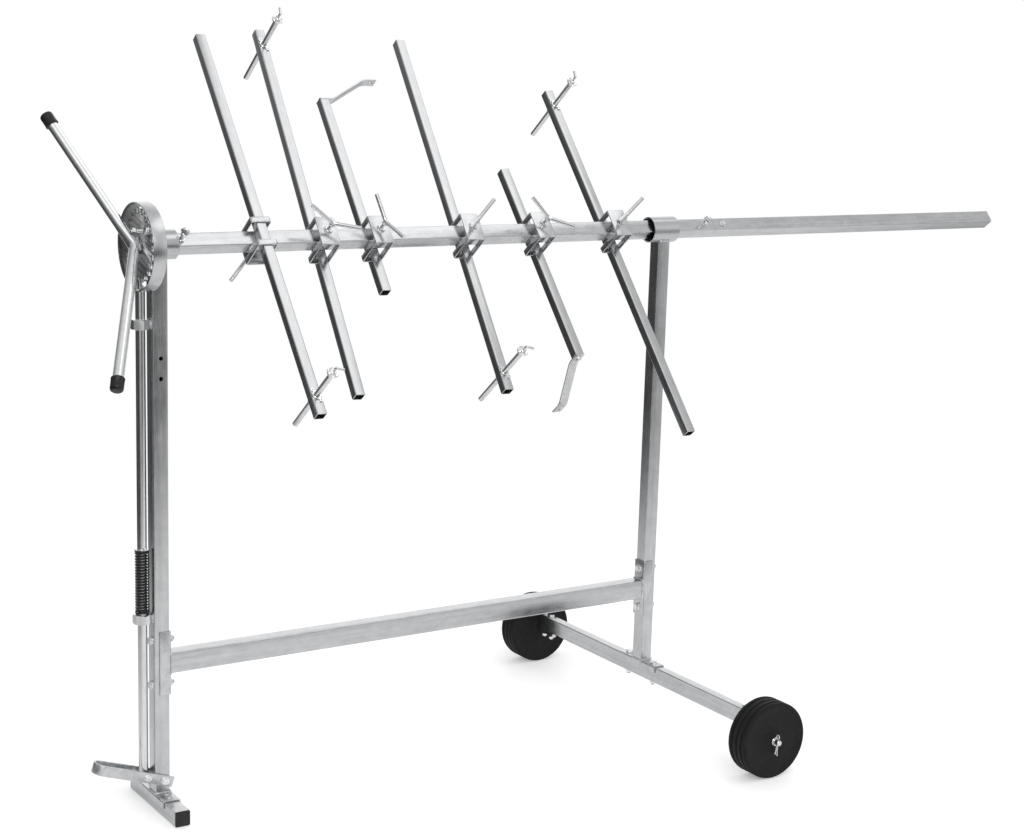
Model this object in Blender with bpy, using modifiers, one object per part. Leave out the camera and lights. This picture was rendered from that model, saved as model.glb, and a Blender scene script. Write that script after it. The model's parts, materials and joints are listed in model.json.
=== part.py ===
"""Rotating panel stand: two posts carry a square shaft with six clamp-on arms.

X runs along the shaft, Z is up and Y points to the back. The origin is on the floor under the left post.
All sizes are metres. Run with: blender --background --python part.py
"""

import math

import bmesh
import bpy
from mathutils import Matrix, Vector

# Driving dimensions
SHAFT_HEIGHT = 1.080
POST_SPACING = 1.144
TUBE = 0.030
WALL = 0.0015
CORNER = 0.002
GAP = 0.0003
SHAFT_TURN = math.radians(51)

SHAFT_END = 1.278
EXTENSION_END = 2.1235
SPIGOT = 0.0264
SPIGOT_START = 1.190
SPIGOT_END = 1.340
LOCK_SCREW_X = 1.250
LOCK_SCREW_GRIP = 0.019
STOP_SCREW_X = 0.042
STOP_SCREW_GRIP = 0.026
STOP_SCREW_TIP = 0.004

SLEEVE_RADIUS = 0.0272
SLEEVE_BORE = 0.0242
BUSH_BORE = 0.0209
LEFT_SLEEVE = (-0.026, 0.034)
RIGHT_SLEEVE = (1.110, 1.1756)
BUSH_LENGTH = 0.046

PLATE = 0.003
PLATE_BEND = 0.0035
FOOT_CENTRE = 0.015
FOOT_HALF = 0.109
FOOT_SADDLE_HALF = 0.059
FOOT_FLANGE = 0.014
PLUG_FLANGE = 0.003

BEAM_WIDTH = 0.022
BEAM_BOTTOM = 0.0863
BEAM_TOP = 0.1221
BEAM_HALF = 0.395
AXLE_SADDLE_HALF = 0.065
AXLE_FLANGE = 0.015

WHEEL_RADIUS = 0.080
WHEEL_INNER = 0.403
WHEEL_OUTER = 0.459
AXLE_RADIUS = 0.006
AXLE_INNER = 0.345
AXLE_OUTER = 0.474

STRETCHER_WIDTH = 0.034
STRETCHER_DEPTH = 0.0405
STRETCHER_HEIGHT = 0.2887
BRACKET_HEIGHT = 0.124
BRACKET_CENTRE = 0.290
BRACKET_FLANGE = 0.020

DISC_RADIUS = 0.068
DISC_FRONT = -0.0345
DISC_BACK = -0.0285
NOTCHES = 24
NOTCH_RADIUS = 0.0048
NOTCH_CENTRE = 0.0626
HOOP_RADIUS = 0.081
HOOP_DROP = 0.003
HOOP_SPAN = (-0.0405, -0.0153)
HOOP_STRETCH = 1.08
HOOP_OPENING = 0.0263

HANDLE_RADIUS = 0.010
HANDLE_SEAT = 0.007
HANDLE_TURN = math.radians(53.3)
HANDLE_DROP = 0.003
HANDLE_FLARE = math.radians(19.9)
HANDLE_REACH = 0.3033
HANDLE_BEND = 0.026
CAP_RADIUS = 0.0122
CAP_LENGTH = 0.026

ROD_X = -0.0325
ROD_RADIUS = 0.009
ROD_BOTTOM = 0.0585
ROD_SHOULDER = 0.9995
PIN_RADIUS = 0.004
PIN_TOP = 1.0182
NUT_FLATS = 0.032
NUT_HEIGHT = 0.0185
UPPER_GUIDE = 0.927
LOWER_GUIDE = 0.370
SPRING_TOP = 0.5135
SPRING_RADIUS = 0.0123
SPRING_WIRE = 0.0015
SPRING_TURNS = 23

PEDAL_PIVOT = Vector((0.003, 0.0, 0.058))
PEDAL_TILT = math.radians(18.5)
PEDAL_STRAP = 0.020
PEDAL_THICKNESS = 0.004
PEDAL_INNER = 0.0155
PEDAL_BACK = 0.0175
PEDAL_REACH = 0.143
PEDAL_LEVER = 0.0365
PIVOT_BOLT = 0.004
ROD_BOLT = 0.003

ARM = 0.020
ARM_OFFSET = 0.0253
CLAMP_WIDTH = 0.041
CLAMP_LENGTH = 0.062
CLAMP_WINDOW = 0.038
CLAMP_SHEET = 0.0025
CLAMP_FACE = 0.032
CLAMP_BASE = -0.0382
SCREW_RADIUS = 0.004
LEVER_HEIGHT = 0.056
LEVER_LEG = 0.056
LEVER_RISE = math.radians(23)
HOOK_PIN_RADIUS = 0.0055
HOOK_PIN_HALF = 0.098
HOOK_PIN_INSET = 0.0385
HOOK_HEAD = 0.014
HOOK_HEAD_RADIUS = 0.008
HOOK_WIRE = 0.0026
HOOK_RISE = 0.009
HOOK_LENGTH = 0.015
HOOK_BEND = 0.004
HOOK_SWING = math.radians(-30)
HOOK_STRAP_FOOT = 0.030
HOOK_STRAP_RUN = 0.085
HOOK_STRAP_RISE = 0.051
HOOK_STRAP_TIP = 0.029

# One row for each arm: place on the shaft, lean in degrees, side of the shaft, lower end, upper end,
# lever's direction in degrees, and what its end carries
ARMS = (
    (0.2005, 0.00, 1, -0.389, 0.459, 44, "pin_low"),
    (0.3354, 2.95, -1, -0.331, 0.517, 151, "pin_high"),
    (0.4497, 1.00, -1, -0.1095, 0.345, 106, "strap_high"),
    (0.6575, 2.95, -1, -0.345, 0.503, 43, "pin_low"),
    (0.8256, -1.27, -1, -0.278, 0.1715, 134, "strap_low"),
    (1.0186, -1.00, -1, -0.4735, 0.3765, 33, "pin_high"),
)

ZINC = (0.62, 0.63, 0.64)
BLACK = (0.012, 0.012, 0.013)


def clear_scene():
    for old in list(bpy.data.objects):
        bpy.data.objects.remove(old, do_unlink=True)


def new_collection(name):
    group = bpy.data.collections.new(name)
    bpy.context.scene.collection.children.link(group)
    return group


def material(name, colour, roughness, metallic):
    made = bpy.data.materials.new(name)
    made.use_nodes = True
    shader = made.node_tree.nodes["Principled BSDF"]
    shader.inputs["Base Color"].default_value = (*colour, 1.0)
    shader.inputs["Roughness"].default_value = roughness
    shader.inputs["Metallic"].default_value = metallic
    return made


def steel(name):
    return material(name, ZINC, 0.32, 1.0)


def plastic(name):
    return material(name, BLACK, 0.5, 0.0)


def part(name, shape, finish, parent=None, location=(0, 0, 0), rotation=(0, 0, 0)):
    """Adds one sub-part with its own material, placed in the world or under an empty."""
    made = bpy.data.objects.new(name, shape)
    made.location = location
    made.rotation_euler = rotation
    made.parent = parent
    shape.materials.append(finish)
    PARTS.objects.link(made)
    return made


def empty(name, location, rotation):
    made = bpy.data.objects.new(name, None)
    made.location = location
    made.rotation_euler = rotation
    PARTS.objects.link(made)
    return made


def mesh_from(shape, name, smooth_angle=None):
    made = bpy.data.meshes.new(name)
    bmesh.ops.recalc_face_normals(shape, faces=shape.faces)
    shape.to_mesh(made)
    shape.free()
    if smooth_angle is not None:
        made.shade_smooth()
        made.set_sharp_from_angle(angle=smooth_angle)
    return made


def block(size, centre=(0, 0, 0)):
    shape = bmesh.new()
    bmesh.ops.create_cube(shape, size=1.0)
    bmesh.ops.scale(shape, vec=size, verts=shape.verts)
    bmesh.ops.translate(shape, vec=centre, verts=shape.verts)
    return mesh_from(shape, "block")


def cylinder(radius, length, centre=(0, 0, 0), axis="Z", sides=24):
    shape = bmesh.new()
    bmesh.ops.create_cone(
        shape, cap_ends=True, segments=sides, radius1=radius, radius2=radius, depth=length
    )
    turns = {"X": Matrix.Rotation(math.pi / 2, 3, "Y"), "Y": Matrix.Rotation(math.pi / 2, 3, "X")}
    if axis in turns:
        bmesh.ops.rotate(shape, matrix=turns[axis], verts=shape.verts)
    bmesh.ops.translate(shape, vec=centre, verts=shape.verts)
    return mesh_from(shape, "cylinder", math.radians(40))


def add_shell(target, thickness, offset=-1):
    shell = target.modifiers.new("Wall", "SOLIDIFY")
    shell.thickness = thickness
    shell.offset = offset
    shell.use_even_offset = True


def profile_tube(width, height, start, end, axis="Z", corner=CORNER):
    """An open box along one axis, with rounded long edges, ready for Solidify."""
    shape = bmesh.new()
    bmesh.ops.create_cube(shape, size=1.0)
    bmesh.ops.scale(shape, vec=(width, height, end - start), verts=shape.verts)
    long_edges = [e for e in shape.edges if abs(e.verts[0].co.z - e.verts[1].co.z) > 1e-6]
    bmesh.ops.bevel(shape, geom=long_edges, offset=corner, segments=2, affect="EDGES", profile=0.5)
    shape.normal_update()
    away = [f for f in shape.faces if abs(f.normal.z) > 0.5]
    bmesh.ops.delete(shape, geom=away, context="FACES")
    bmesh.ops.translate(shape, vec=(0, 0, (start + end) / 2), verts=shape.verts)
    turns = {
        "X": Matrix(((0, 0, 1), (1, 0, 0), (0, 1, 0))),
        "Y": Matrix(((1, 0, 0), (0, 0, 1), (0, -1, 0))),
    }
    if axis in turns:
        bmesh.ops.rotate(shape, matrix=turns[axis], verts=shape.verts)
    made = bpy.data.meshes.new("profile")
    shape.to_mesh(made)
    shape.free()
    made.shade_smooth()
    made.set_sharp_from_angle(angle=math.radians(40))
    return made


def outline_mesh(points, thickness, name):
    """A flat outline in XY, extruded to a thickness centred on XY, as a mesh."""
    curve = bpy.data.curves.new(name, "CURVE")
    curve.dimensions = "2D"
    curve.fill_mode = "BOTH"
    curve.extrude = thickness / 2
    line = curve.splines.new("POLY")
    line.points.add(len(points) - 1)
    for spot, (x, y) in zip(line.points, points):
        spot.co = (x, y, 0, 1)
    line.use_cyclic_u = True
    return curve_to_mesh(curve, name)


def curve_to_mesh(curve, name):
    """Turns a curve into a welded mesh and removes the curve."""
    holder = bpy.data.objects.new(name, curve)
    bpy.context.scene.collection.objects.link(holder)
    bpy.context.view_layer.update()
    evaluated = holder.evaluated_get(bpy.context.evaluated_depsgraph_get())
    made = bpy.data.meshes.new_from_object(evaluated)
    shape = bmesh.new()
    shape.from_mesh(made)
    bmesh.ops.remove_doubles(shape, verts=shape.verts, dist=0.00001)
    bmesh.ops.recalc_face_normals(shape, faces=shape.faces)
    shape.to_mesh(made)
    shape.free()
    bpy.data.objects.remove(holder, do_unlink=True)
    bpy.data.curves.remove(curve)
    made.materials.clear()
    return made


def round_bar(points, radius, name, detail=2):
    """A round bar or wire along points, as a welded mesh with filled ends."""
    curve = bpy.data.curves.new(name, "CURVE")
    curve.dimensions = "3D"
    curve.bevel_depth = radius
    curve.bevel_resolution = detail
    curve.use_fill_caps = True
    line = curve.splines.new("POLY")
    line.points.add(len(points) - 1)
    for spot, place in zip(line.points, points):
        spot.co = (*place, 1)
    made = curve_to_mesh(curve, name)
    made.shade_smooth()
    made.set_sharp_from_angle(angle=math.radians(50))
    return made


def turned(name, profile, finish, sides=32, closed=False, **place):
    """A turned piece: profile is (radius, height) points, down the outer side."""
    shape = bmesh.new()
    spots = [shape.verts.new((radius, 0, height)) for radius, height in profile]
    for first, second in zip(spots, spots[1:]):
        shape.edges.new((first, second))
    if closed:
        shape.edges.new((spots[-1], spots[0]))
    made = bpy.data.meshes.new(name)
    shape.to_mesh(made)
    shape.free()
    piece = part(name, made, finish, **place)
    spin = piece.modifiers.new("Turn", "SCREW")
    spin.axis = "Z"
    spin.angle = math.tau
    spin.steps = sides
    spin.render_steps = sides
    spin.use_merge_vertices = True
    spin.merge_threshold = 0.00005
    spin.use_smooth_shade = True
    return piece


def ring(name, outer, inner, start, end, finish, sides=24, **place):
    profile = ((outer, end), (outer, start), (inner, start), (inner, end))
    return turned(name, profile, finish, sides, closed=True, **place)


def combine(target, shape, operation, name, matrix=None):
    """Cuts or joins target with a hidden shape, given in target's own space."""
    helper = bpy.data.objects.new(name, shape)
    CUTTERS.objects.link(helper)
    helper.hide_render = True
    helper.display_type = "WIRE"
    helper.parent = target
    if matrix is not None:
        helper.matrix_local = matrix
    change = target.modifiers.new(name, "BOOLEAN")
    change.object = helper
    change.operation = operation
    change.solver = "EXACT"


def cut(target, shape, name, matrix=None):
    combine(target, shape, "DIFFERENCE", name, matrix)


def arc(centre, radius, first, last, steps):
    """Points along an arc in XY, with angles in degrees."""
    made = []
    for step in range(steps + 1):
        angle = math.radians(first + (last - first) * step / steps)
        made.append((centre[0] + radius * math.cos(angle), centre[1] + radius * math.sin(angle)))
    return made


def posts():
    floor = FOOT_CENTRE + TUBE / 2 + PLATE + 2 * GAP
    left = part("left_post", profile_tube(TUBE, TUBE, floor, SHAFT_HEIGHT), steel("left_post"))
    add_shell(left, WALL)
    cut(left, cylinder(SLEEVE_RADIUS + GAP, 0.1, (0, 0, SHAFT_HEIGHT), "X", 24), "left_sleeve_seat")
    bore = PIVOT_BOLT + 0.0003
    cut(left, cylinder(bore, 0.05, PEDAL_PIVOT, "Y", 16), "pedal_bolt_hole")
    base = BEAM_TOP + PLATE + 2 * GAP
    right = part(
        "right_post",
        profile_tube(TUBE, TUBE, base, SHAFT_HEIGHT),
        steel("right_post"),
        location=(POST_SPACING, 0, 0),
    )
    add_shell(right, WALL)
    cut(right, cylinder(SLEEVE_RADIUS + GAP, 0.1, (0, 0, SHAFT_HEIGHT), "X", 24), "right_sleeve_seat")


def bearings():
    along_x = (0, math.pi / 2, 0)
    for side, (start, end) in (("left", LEFT_SLEEVE), ("right", RIGHT_SLEEVE)):
        ring(
            f"{side}_bearing_sleeve",
            SLEEVE_RADIUS,
            SLEEVE_BORE,
            start,
            end,
            steel(f"{side}_bearing_sleeve"),
            location=(0, 0, SHAFT_HEIGHT),
            rotation=along_x,
        )
        middle = (start + end) / 2
        ring(
            f"{side}_bush",
            SLEEVE_BORE - GAP,
            BUSH_BORE,
            middle - BUSH_LENGTH / 2,
            middle + BUSH_LENGTH / 2,
            plastic(f"{side}_bush"),
            location=(0, 0, SHAFT_HEIGHT),
            rotation=along_x,
        )


def saddle(name, width, half, flange, top, location):
    """A plate bent over a bar that runs along Y: its top face is at top, its flanges hang down."""
    channel = profile_tube(width + 2 * (GAP + PLATE), 2 * flange, -half, half, axis="Y", corner=PLATE_BEND)
    shape = bmesh.new()
    shape.from_mesh(channel)
    low = [f for f in shape.faces if f.calc_center_median().z < -flange + PLATE_BEND + 0.001]
    bmesh.ops.delete(shape, geom=low, context="FACES")
    open_edge = min(v.co.z for v in shape.verts)
    for spot in shape.verts:
        if spot.co.z < open_edge + 0.0001:
            spot.co.z = 0.0
    bmesh.ops.translate(shape, vec=(0, 0, top - flange), verts=shape.verts)
    shape.to_mesh(channel)
    shape.free()
    piece = part(name, channel, steel(name), location=location)
    add_shell(piece, PLATE)
    return piece


def foot():
    bar = part(
        "foot_bar",
        profile_tube(TUBE, TUBE, -FOOT_HALF, FOOT_HALF, axis="Y"),
        steel("foot_bar"),
        location=(0, 0, FOOT_CENTRE),
    )
    add_shell(bar, WALL)
    top = FOOT_CENTRE + TUBE / 2 + GAP + PLATE
    saddle("foot_saddle", TUBE, FOOT_SADDLE_HALF, FOOT_FLANGE, top, (0, 0, 0))
    bore = TUBE / 2 - WALL - GAP
    for side, sign in (("front", -1), ("rear", 1)):
        outer = block((TUBE, PLUG_FLANGE, TUBE), (0, sign * (PLUG_FLANGE / 2 + GAP), 0))
        plug = part(
            f"foot_plug_{side}",
            outer,
            plastic(f"foot_plug_{side}"),
            location=(0, sign * FOOT_HALF, FOOT_CENTRE),
        )
        tongue = block((2 * bore, 0.016, 2 * bore), (0, -sign * 0.0065, 0))
        combine(plug, tongue, "UNION", f"plug_tongue_{side}")


def axle_beam():
    middle = (BEAM_TOP + BEAM_BOTTOM) / 2
    beam = part(
        "axle_beam",
        profile_tube(BEAM_WIDTH, BEAM_TOP - BEAM_BOTTOM, -BEAM_HALF, BEAM_HALF, axis="Y"),
        steel("axle_beam"),
        location=(POST_SPACING, 0, middle),
    )
    add_shell(beam, WALL)
    top = BEAM_TOP + GAP + PLATE
    saddle("axle_saddle", BEAM_WIDTH, AXLE_SADDLE_HALF, AXLE_FLANGE, top, (POST_SPACING, 0, 0))


def wheels():
    """Solid wheels with three grooves in the tread, each on its own stub axle under the beam."""
    half = (WHEEL_OUTER - WHEEL_INNER) / 2
    groove = 0.003
    profile = [(0.020, half), (0.022, half - 0.002), (0.074, half - 0.002), (0.0785, half - 0.0055)]
    for centre in (0.015, 0.0, -0.015):
        profile += [
            (WHEEL_RADIUS, centre + 0.0045),
            (WHEEL_RADIUS - groove, centre),
            (WHEEL_RADIUS, centre - 0.0045),
        ]
    profile += [(r, -h) for r, h in reversed(profile[:4])]
    bore = AXLE_RADIUS + 0.0003
    profile += [(bore, -half), (bore, half)]
    for side, sign in (("front", -1), ("rear", 1)):
        centre = sign * (WHEEL_INNER + half)
        turned(
            f"wheel_{side}",
            profile,
            plastic(f"wheel_{side}"),
            sides=36,
            closed=True,
            location=(POST_SPACING, centre, WHEEL_RADIUS),
            rotation=(math.pi / 2, 0, 0),
        )
        length = AXLE_OUTER - AXLE_INNER
        bevel = 0.0015
        turned(
            f"axle_stub_{side}",
            (
                (0, length / 2),
                (AXLE_RADIUS - bevel, length / 2),
                (AXLE_RADIUS, length / 2 - bevel),
                (AXLE_RADIUS, -length / 2 + bevel),
                (AXLE_RADIUS - bevel, -length / 2),
                (0, -length / 2),
            ),
            steel(f"axle_stub_{side}"),
            sides=20,
            location=(POST_SPACING, sign * (AXLE_OUTER + AXLE_INNER) / 2, WHEEL_RADIUS),
            rotation=(math.pi / 2, 0, 0),
        )


def stretcher():
    face = TUBE / 2 + GAP + PLATE + GAP
    tube = part(
        "stretcher_tube",
        profile_tube(STRETCHER_WIDTH, STRETCHER_DEPTH, face, POST_SPACING - face, axis="X"),
        steel("stretcher_tube"),
        location=(0, 0, STRETCHER_HEIGHT),
    )
    add_shell(tube, WALL)
    outside = TUBE + 2 * (GAP + PLATE)
    depth = GAP + PLATE + BRACKET_FLANGE
    for side, sign, x in (("left", 1, 0.0), ("right", -1, POST_SPACING)):
        channel = profile_tube(
            2 * depth,
            outside,
            -BRACKET_HEIGHT / 2,
            BRACKET_HEIGHT / 2,
            corner=PLATE_BEND,
        )
        shape = bmesh.new()
        shape.from_mesh(channel)
        away = [f for f in shape.faces if sign * f.calc_center_median().x < -depth + 0.004]
        bmesh.ops.delete(shape, geom=away, context="FACES")
        edge = min(sign * v.co.x for v in shape.verts)
        for spot in shape.verts:
            if sign * spot.co.x < edge + 0.0001:
                spot.co.x = 0.0
        face_x = TUBE / 2 + GAP + PLATE
        bmesh.ops.translate(shape, vec=(sign * (face_x - depth), 0, 0), verts=shape.verts)
        shape.to_mesh(channel)
        shape.free()
        name = f"{side}_stretcher_bracket"
        piece = part(name, channel, steel(name), location=(x, 0, BRACKET_CENTRE))
        add_shell(piece, PLATE)


def index_guard():
    thickness = 0.003
    hoop = ring(
        "index_guard",
        HOOP_RADIUS,
        HOOP_RADIUS - thickness,
        HOOP_SPAN[0],
        HOOP_SPAN[1],
        steel("index_guard"),
        sides=48,
        location=(0, 0, SHAFT_HEIGHT - HOOP_DROP),
        rotation=(0, math.pi / 2, 0),
    )
    hoop.scale.y = HOOP_STRETCH
    opening = block((0.03, HOOP_OPENING, 0.1), (HOOP_RADIUS, 0, -0.028))
    cut(hoop, opening, "hoop_opening")


def rod_guides():
    """Hex nuts bored out for the rod and welded to the left post."""
    corner = NUT_FLATS / math.sqrt(3)
    for name, bottom in (("upper_rod_guide", UPPER_GUIDE), ("lower_rod_guide", LOWER_GUIDE)):
        hexagon = [
            (corner * math.cos(math.radians(60 * k + 30)), corner * math.sin(math.radians(60 * k + 30)))
            for k in range(6)
        ]
        nut = part(
            name,
            outline_mesh(hexagon, NUT_HEIGHT, name),
            steel(name),
            location=(ROD_X, 0, bottom + NUT_HEIGHT / 2),
        )
        chamfer = 0.0022
        flat = NUT_FLATS / 2 - 0.0002
        half = NUT_HEIGHT / 2
        lens = bmesh.new()
        bmesh.ops.create_cone(
            lens, cap_ends=True, segments=32, radius1=corner * 1.02, radius2=corner * 1.02, depth=NUT_HEIGHT
        )
        rims = [e for e in lens.edges if abs(abs(e.verts[0].co.z) - half) < 1e-6]
        rims = [e for e in rims if abs(e.verts[0].co.z - e.verts[1].co.z) < 1e-6]
        bmesh.ops.bevel(lens, geom=rims, offset=corner * 1.02 - flat, segments=1, affect="EDGES")
        for spot in lens.verts:
            if abs(spot.co.z) < half - 1e-6:
                spot.co.z = math.copysign(half - chamfer, spot.co.z)
        combine(nut, mesh_from(lens, "nut_chamfer"), "INTERSECT", f"{name}_chamfer")
        cut(nut, cylinder(ROD_RADIUS + 0.0003, 0.05), f"{name}_bore")


def lock_rod():
    inner = ROD_RADIUS - WALL
    rod = turned(
        "lock_rod",
        (
            (0, PIN_TOP),
            (PIN_RADIUS - 0.001, PIN_TOP),
            (PIN_RADIUS, PIN_TOP - 0.001),
            (PIN_RADIUS, ROD_SHOULDER + 0.001),
            (ROD_RADIUS - 0.002, ROD_SHOULDER),
            (ROD_RADIUS, ROD_SHOULDER - 0.002),
            (ROD_RADIUS, ROD_BOTTOM),
            (inner, ROD_BOTTOM),
            (inner, ROD_SHOULDER - 0.010),
            (0, ROD_SHOULDER - 0.010),
        ),
        steel("lock_rod"),
        sides=16,
        location=(ROD_X, 0, 0),
    )
    bolt = rod_bolt_place()
    slot = block((0.0092, 0.05, 2 * ROD_BOLT + 0.0008), (0, 0, bolt.z))
    cut(rod, slot, "rod_bolt_slot")


def return_spring():
    """A compression spring on the rod, between the lower guide and a cross pin."""
    bottom = LOWER_GUIDE + NUT_HEIGHT + GAP + SPRING_WIRE
    rise = SPRING_TOP - SPRING_WIRE - bottom
    per_turn = 8
    steps = SPRING_TURNS * per_turn
    points = []
    for step in range(steps + 1):
        angle = math.tau * step / per_turn
        height = bottom + rise * step / steps
        points.append((SPRING_RADIUS * math.cos(angle), SPRING_RADIUS * math.sin(angle), height))
    coil = round_bar(points, SPRING_WIRE, "return_spring", detail=0)
    part("return_spring", coil, plastic("return_spring"), location=(ROD_X, 0, 0))


def rod_bolt_place():
    turn = Matrix.Rotation(PEDAL_TILT, 3, "Y")
    return PEDAL_PIVOT + turn @ Vector((-PEDAL_LEVER, 0, 0))


def pedal():
    """A flat strap bent to a long loop, with its two ends beside the post."""
    outer = PEDAL_INNER + PEDAL_THICKNESS
    bend = -PEDAL_REACH + outer
    outline = [(PEDAL_BACK, -outer)]
    outline.append((PEDAL_BACK, -PEDAL_INNER))
    outline += arc((bend, 0), PEDAL_INNER, 270, 90, 12)
    outline.append((PEDAL_BACK, PEDAL_INNER))
    outline.append((PEDAL_BACK, outer))
    outline += arc((bend, 0), outer, 90, 270, 12)
    frame = empty("pedal_frame", PEDAL_PIVOT, (0, PEDAL_TILT, 0))
    loop = part("foot_pedal", outline_mesh(outline, PEDAL_STRAP, "foot_pedal"), steel("foot_pedal"), frame)
    for radius, x, label in ((PIVOT_BOLT, 0, "pivot"), (ROD_BOLT, -PEDAL_LEVER, "rod")):
        cut(loop, cylinder(radius + 0.0003, 0.06, (x, 0, 0), "Y", 16), f"pedal_{label}_hole")
    face = outer + GAP
    for name, radius, x, head in (
        ("pedal_pivot_bolt", PIVOT_BOLT, 0, 0.0065),
        ("pedal_rod_bolt", ROD_BOLT, -PEDAL_LEVER, 0.0060),
    ):
        thick = 0.0055
        turned(
            name,
            (
                (0, face + thick),
                (head - 0.001, face + thick),
                (head, face + thick - 0.0015),
                (head, face),
                (radius, face),
                (radius, -face),
                (head, -face),
                (head, -face - thick + 0.001),
                (head - 0.001, -face - thick),
                (0, -face - thick),
            ),
            steel(name),
            sides=12,
            parent=frame,
            location=(x, 0, 0),
            rotation=(math.pi / 2, 0, 0),
        )


def shaft():
    start = DISC_BACK + GAP
    frame = empty("shaft_frame", (0, 0, SHAFT_HEIGHT), (SHAFT_TURN, 0, 0))
    tube = part("shaft_tube", profile_tube(TUBE, TUBE, start, SHAFT_END, axis="X"), steel("shaft_tube"), frame)
    add_shell(tube, WALL)
    hole = SCREW_RADIUS + 0.0003
    for x, label in ((STOP_SCREW_X, "stop"), (LOCK_SCREW_X, "lock")):
        cut(tube, cylinder(hole, 0.01, (x, 0, TUBE / 2), sides=16), f"{label}_screw_hole")
    extension = part(
        "extension_tube",
        profile_tube(TUBE, TUBE, SHAFT_END + GAP, EXTENSION_END, axis="X"),
        steel("extension_tube"),
        frame,
    )
    add_shell(extension, WALL)
    spigot = part(
        "extension_spigot",
        profile_tube(SPIGOT, SPIGOT, SPIGOT_START, SPIGOT_END, axis="X"),
        steel("extension_spigot"),
        frame,
    )
    add_shell(spigot, 0.002)
    thumb_screw("shaft_stop_screw", frame, STOP_SCREW_X, STOP_SCREW_TIP, STOP_SCREW_GRIP)
    thumb_screw("extension_lock_screw", frame, LOCK_SCREW_X, SPIGOT / 2 + GAP, LOCK_SCREW_GRIP)
    return frame


def thumb_screw(name, frame, x, tip, height):
    """A screw through the shaft's upper front face, with a flat round grip on edge."""
    grip = 0.0085
    centre = TUBE / 2 + height
    piece = part(name, cylinder(SCREW_RADIUS, centre - tip, (0, 0, (centre + tip) / 2), sides=16), steel(name), frame)
    piece.location = (x, 0, 0)
    combine(piece, cylinder(grip, 0.005, (0, 0, centre), "X", 24), "UNION", f"{name}_grip")


def index_disc(frame):
    """A notched disc: the rod's pin drops into one of the notches."""
    outline = []
    pitch = 360 / NOTCHES
    for k in range(NOTCHES):
        middle = math.radians(k * pitch)
        out = Vector((math.cos(middle), math.sin(middle)))
        side = Vector((-math.sin(middle), math.cos(middle)))
        for beta in (-90, -45, 0, 45, 90):
            angle = math.radians(beta)
            place = out * (NOTCH_CENTRE - NOTCH_RADIUS * math.cos(angle))
            place += side * NOTCH_RADIUS * math.sin(angle)
            outline.append(tuple(place))
        for offset, radius in ((-2.6, 0.0668), (0.0, DISC_RADIUS), (2.6, 0.0668)):
            angle = math.radians((k + 0.5) * pitch + offset)
            outline.append((radius * math.cos(angle), radius * math.sin(angle)))
    thickness = DISC_BACK - DISC_FRONT
    middle = (DISC_FRONT + DISC_BACK) / 2
    disc = outline_mesh(outline, thickness, "index_disc")
    holder = empty("disc_frame", (0, 0, SHAFT_HEIGHT), (0, 0, 0))
    part("index_disc", disc, steel("index_disc"), holder, (middle, 0, 0), (0, math.pi / 2, 0))


def handle():
    """One tube bent to a wide V, its bend pressed flat on the disc, and a cap on each end."""
    frame = empty("handle_frame", (0, 0, SHAFT_HEIGHT - HANDLE_DROP), (HANDLE_TURN, 0, 0))
    seat = DISC_FRONT - GAP
    apex = seat - HANDLE_SEAT
    lean = math.sin(HANDLE_FLARE)
    reach = math.cos(HANDLE_FLARE)
    cap_wall = 0.003
    corner = HANDLE_BEND * math.tan(HANDLE_FLARE)
    points = []
    for side in (-1, 1):
        tip = Vector((apex - lean * (HANDLE_REACH - cap_wall), side * reach * (HANDLE_REACH - cap_wall), 0))
        bend_start = Vector((apex - lean * corner, side * reach * corner, 0))
        run = [tip, tip.lerp(bend_start, 0.5), bend_start]
        points += run if side < 0 else list(reversed(run))
    rounded = points[:2] + bent_corner(points[2], Vector((apex, 0, 0)), points[3], 6) + points[4:]
    bar = round_bar(rounded, HANDLE_RADIUS, "handle_bar", detail=4)
    for spot in bar.vertices:
        spot.co.x = min(spot.co.x, seat)
    part("handle_bar", bar, steel("handle_bar"), frame)
    for name, side in (("handle_cap_upper", 1), ("handle_cap_lower", -1)):
        direction = Vector((-lean, side * reach, 0))
        turn = direction.to_track_quat("Z", "X").to_euler()
        tip = Vector((apex, 0, 0)) + direction * HANDLE_REACH
        bore = HANDLE_RADIUS + GAP
        turned(
            name,
            (
                (0, 0),
                (CAP_RADIUS - 0.003, 0),
                (CAP_RADIUS - 0.0008, -0.001),
                (CAP_RADIUS, -0.003),
                (CAP_RADIUS, -CAP_LENGTH),
                (bore, -CAP_LENGTH),
                (bore, -cap_wall + GAP),
                (0, -cap_wall + GAP),
            ),
            plastic(name),
            sides=20,
            parent=frame,
            location=tip,
            rotation=turn,
        )


def bent_corner(start, corner, end, steps):
    """Points of a smooth bend from start to end, with both tangents through corner."""
    made = []
    for step in range(steps + 1):
        t = step / steps
        made.append(start * (1 - t) ** 2 + corner * (2 * t * (1 - t)) + end * t ** 2)
    return made


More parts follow.
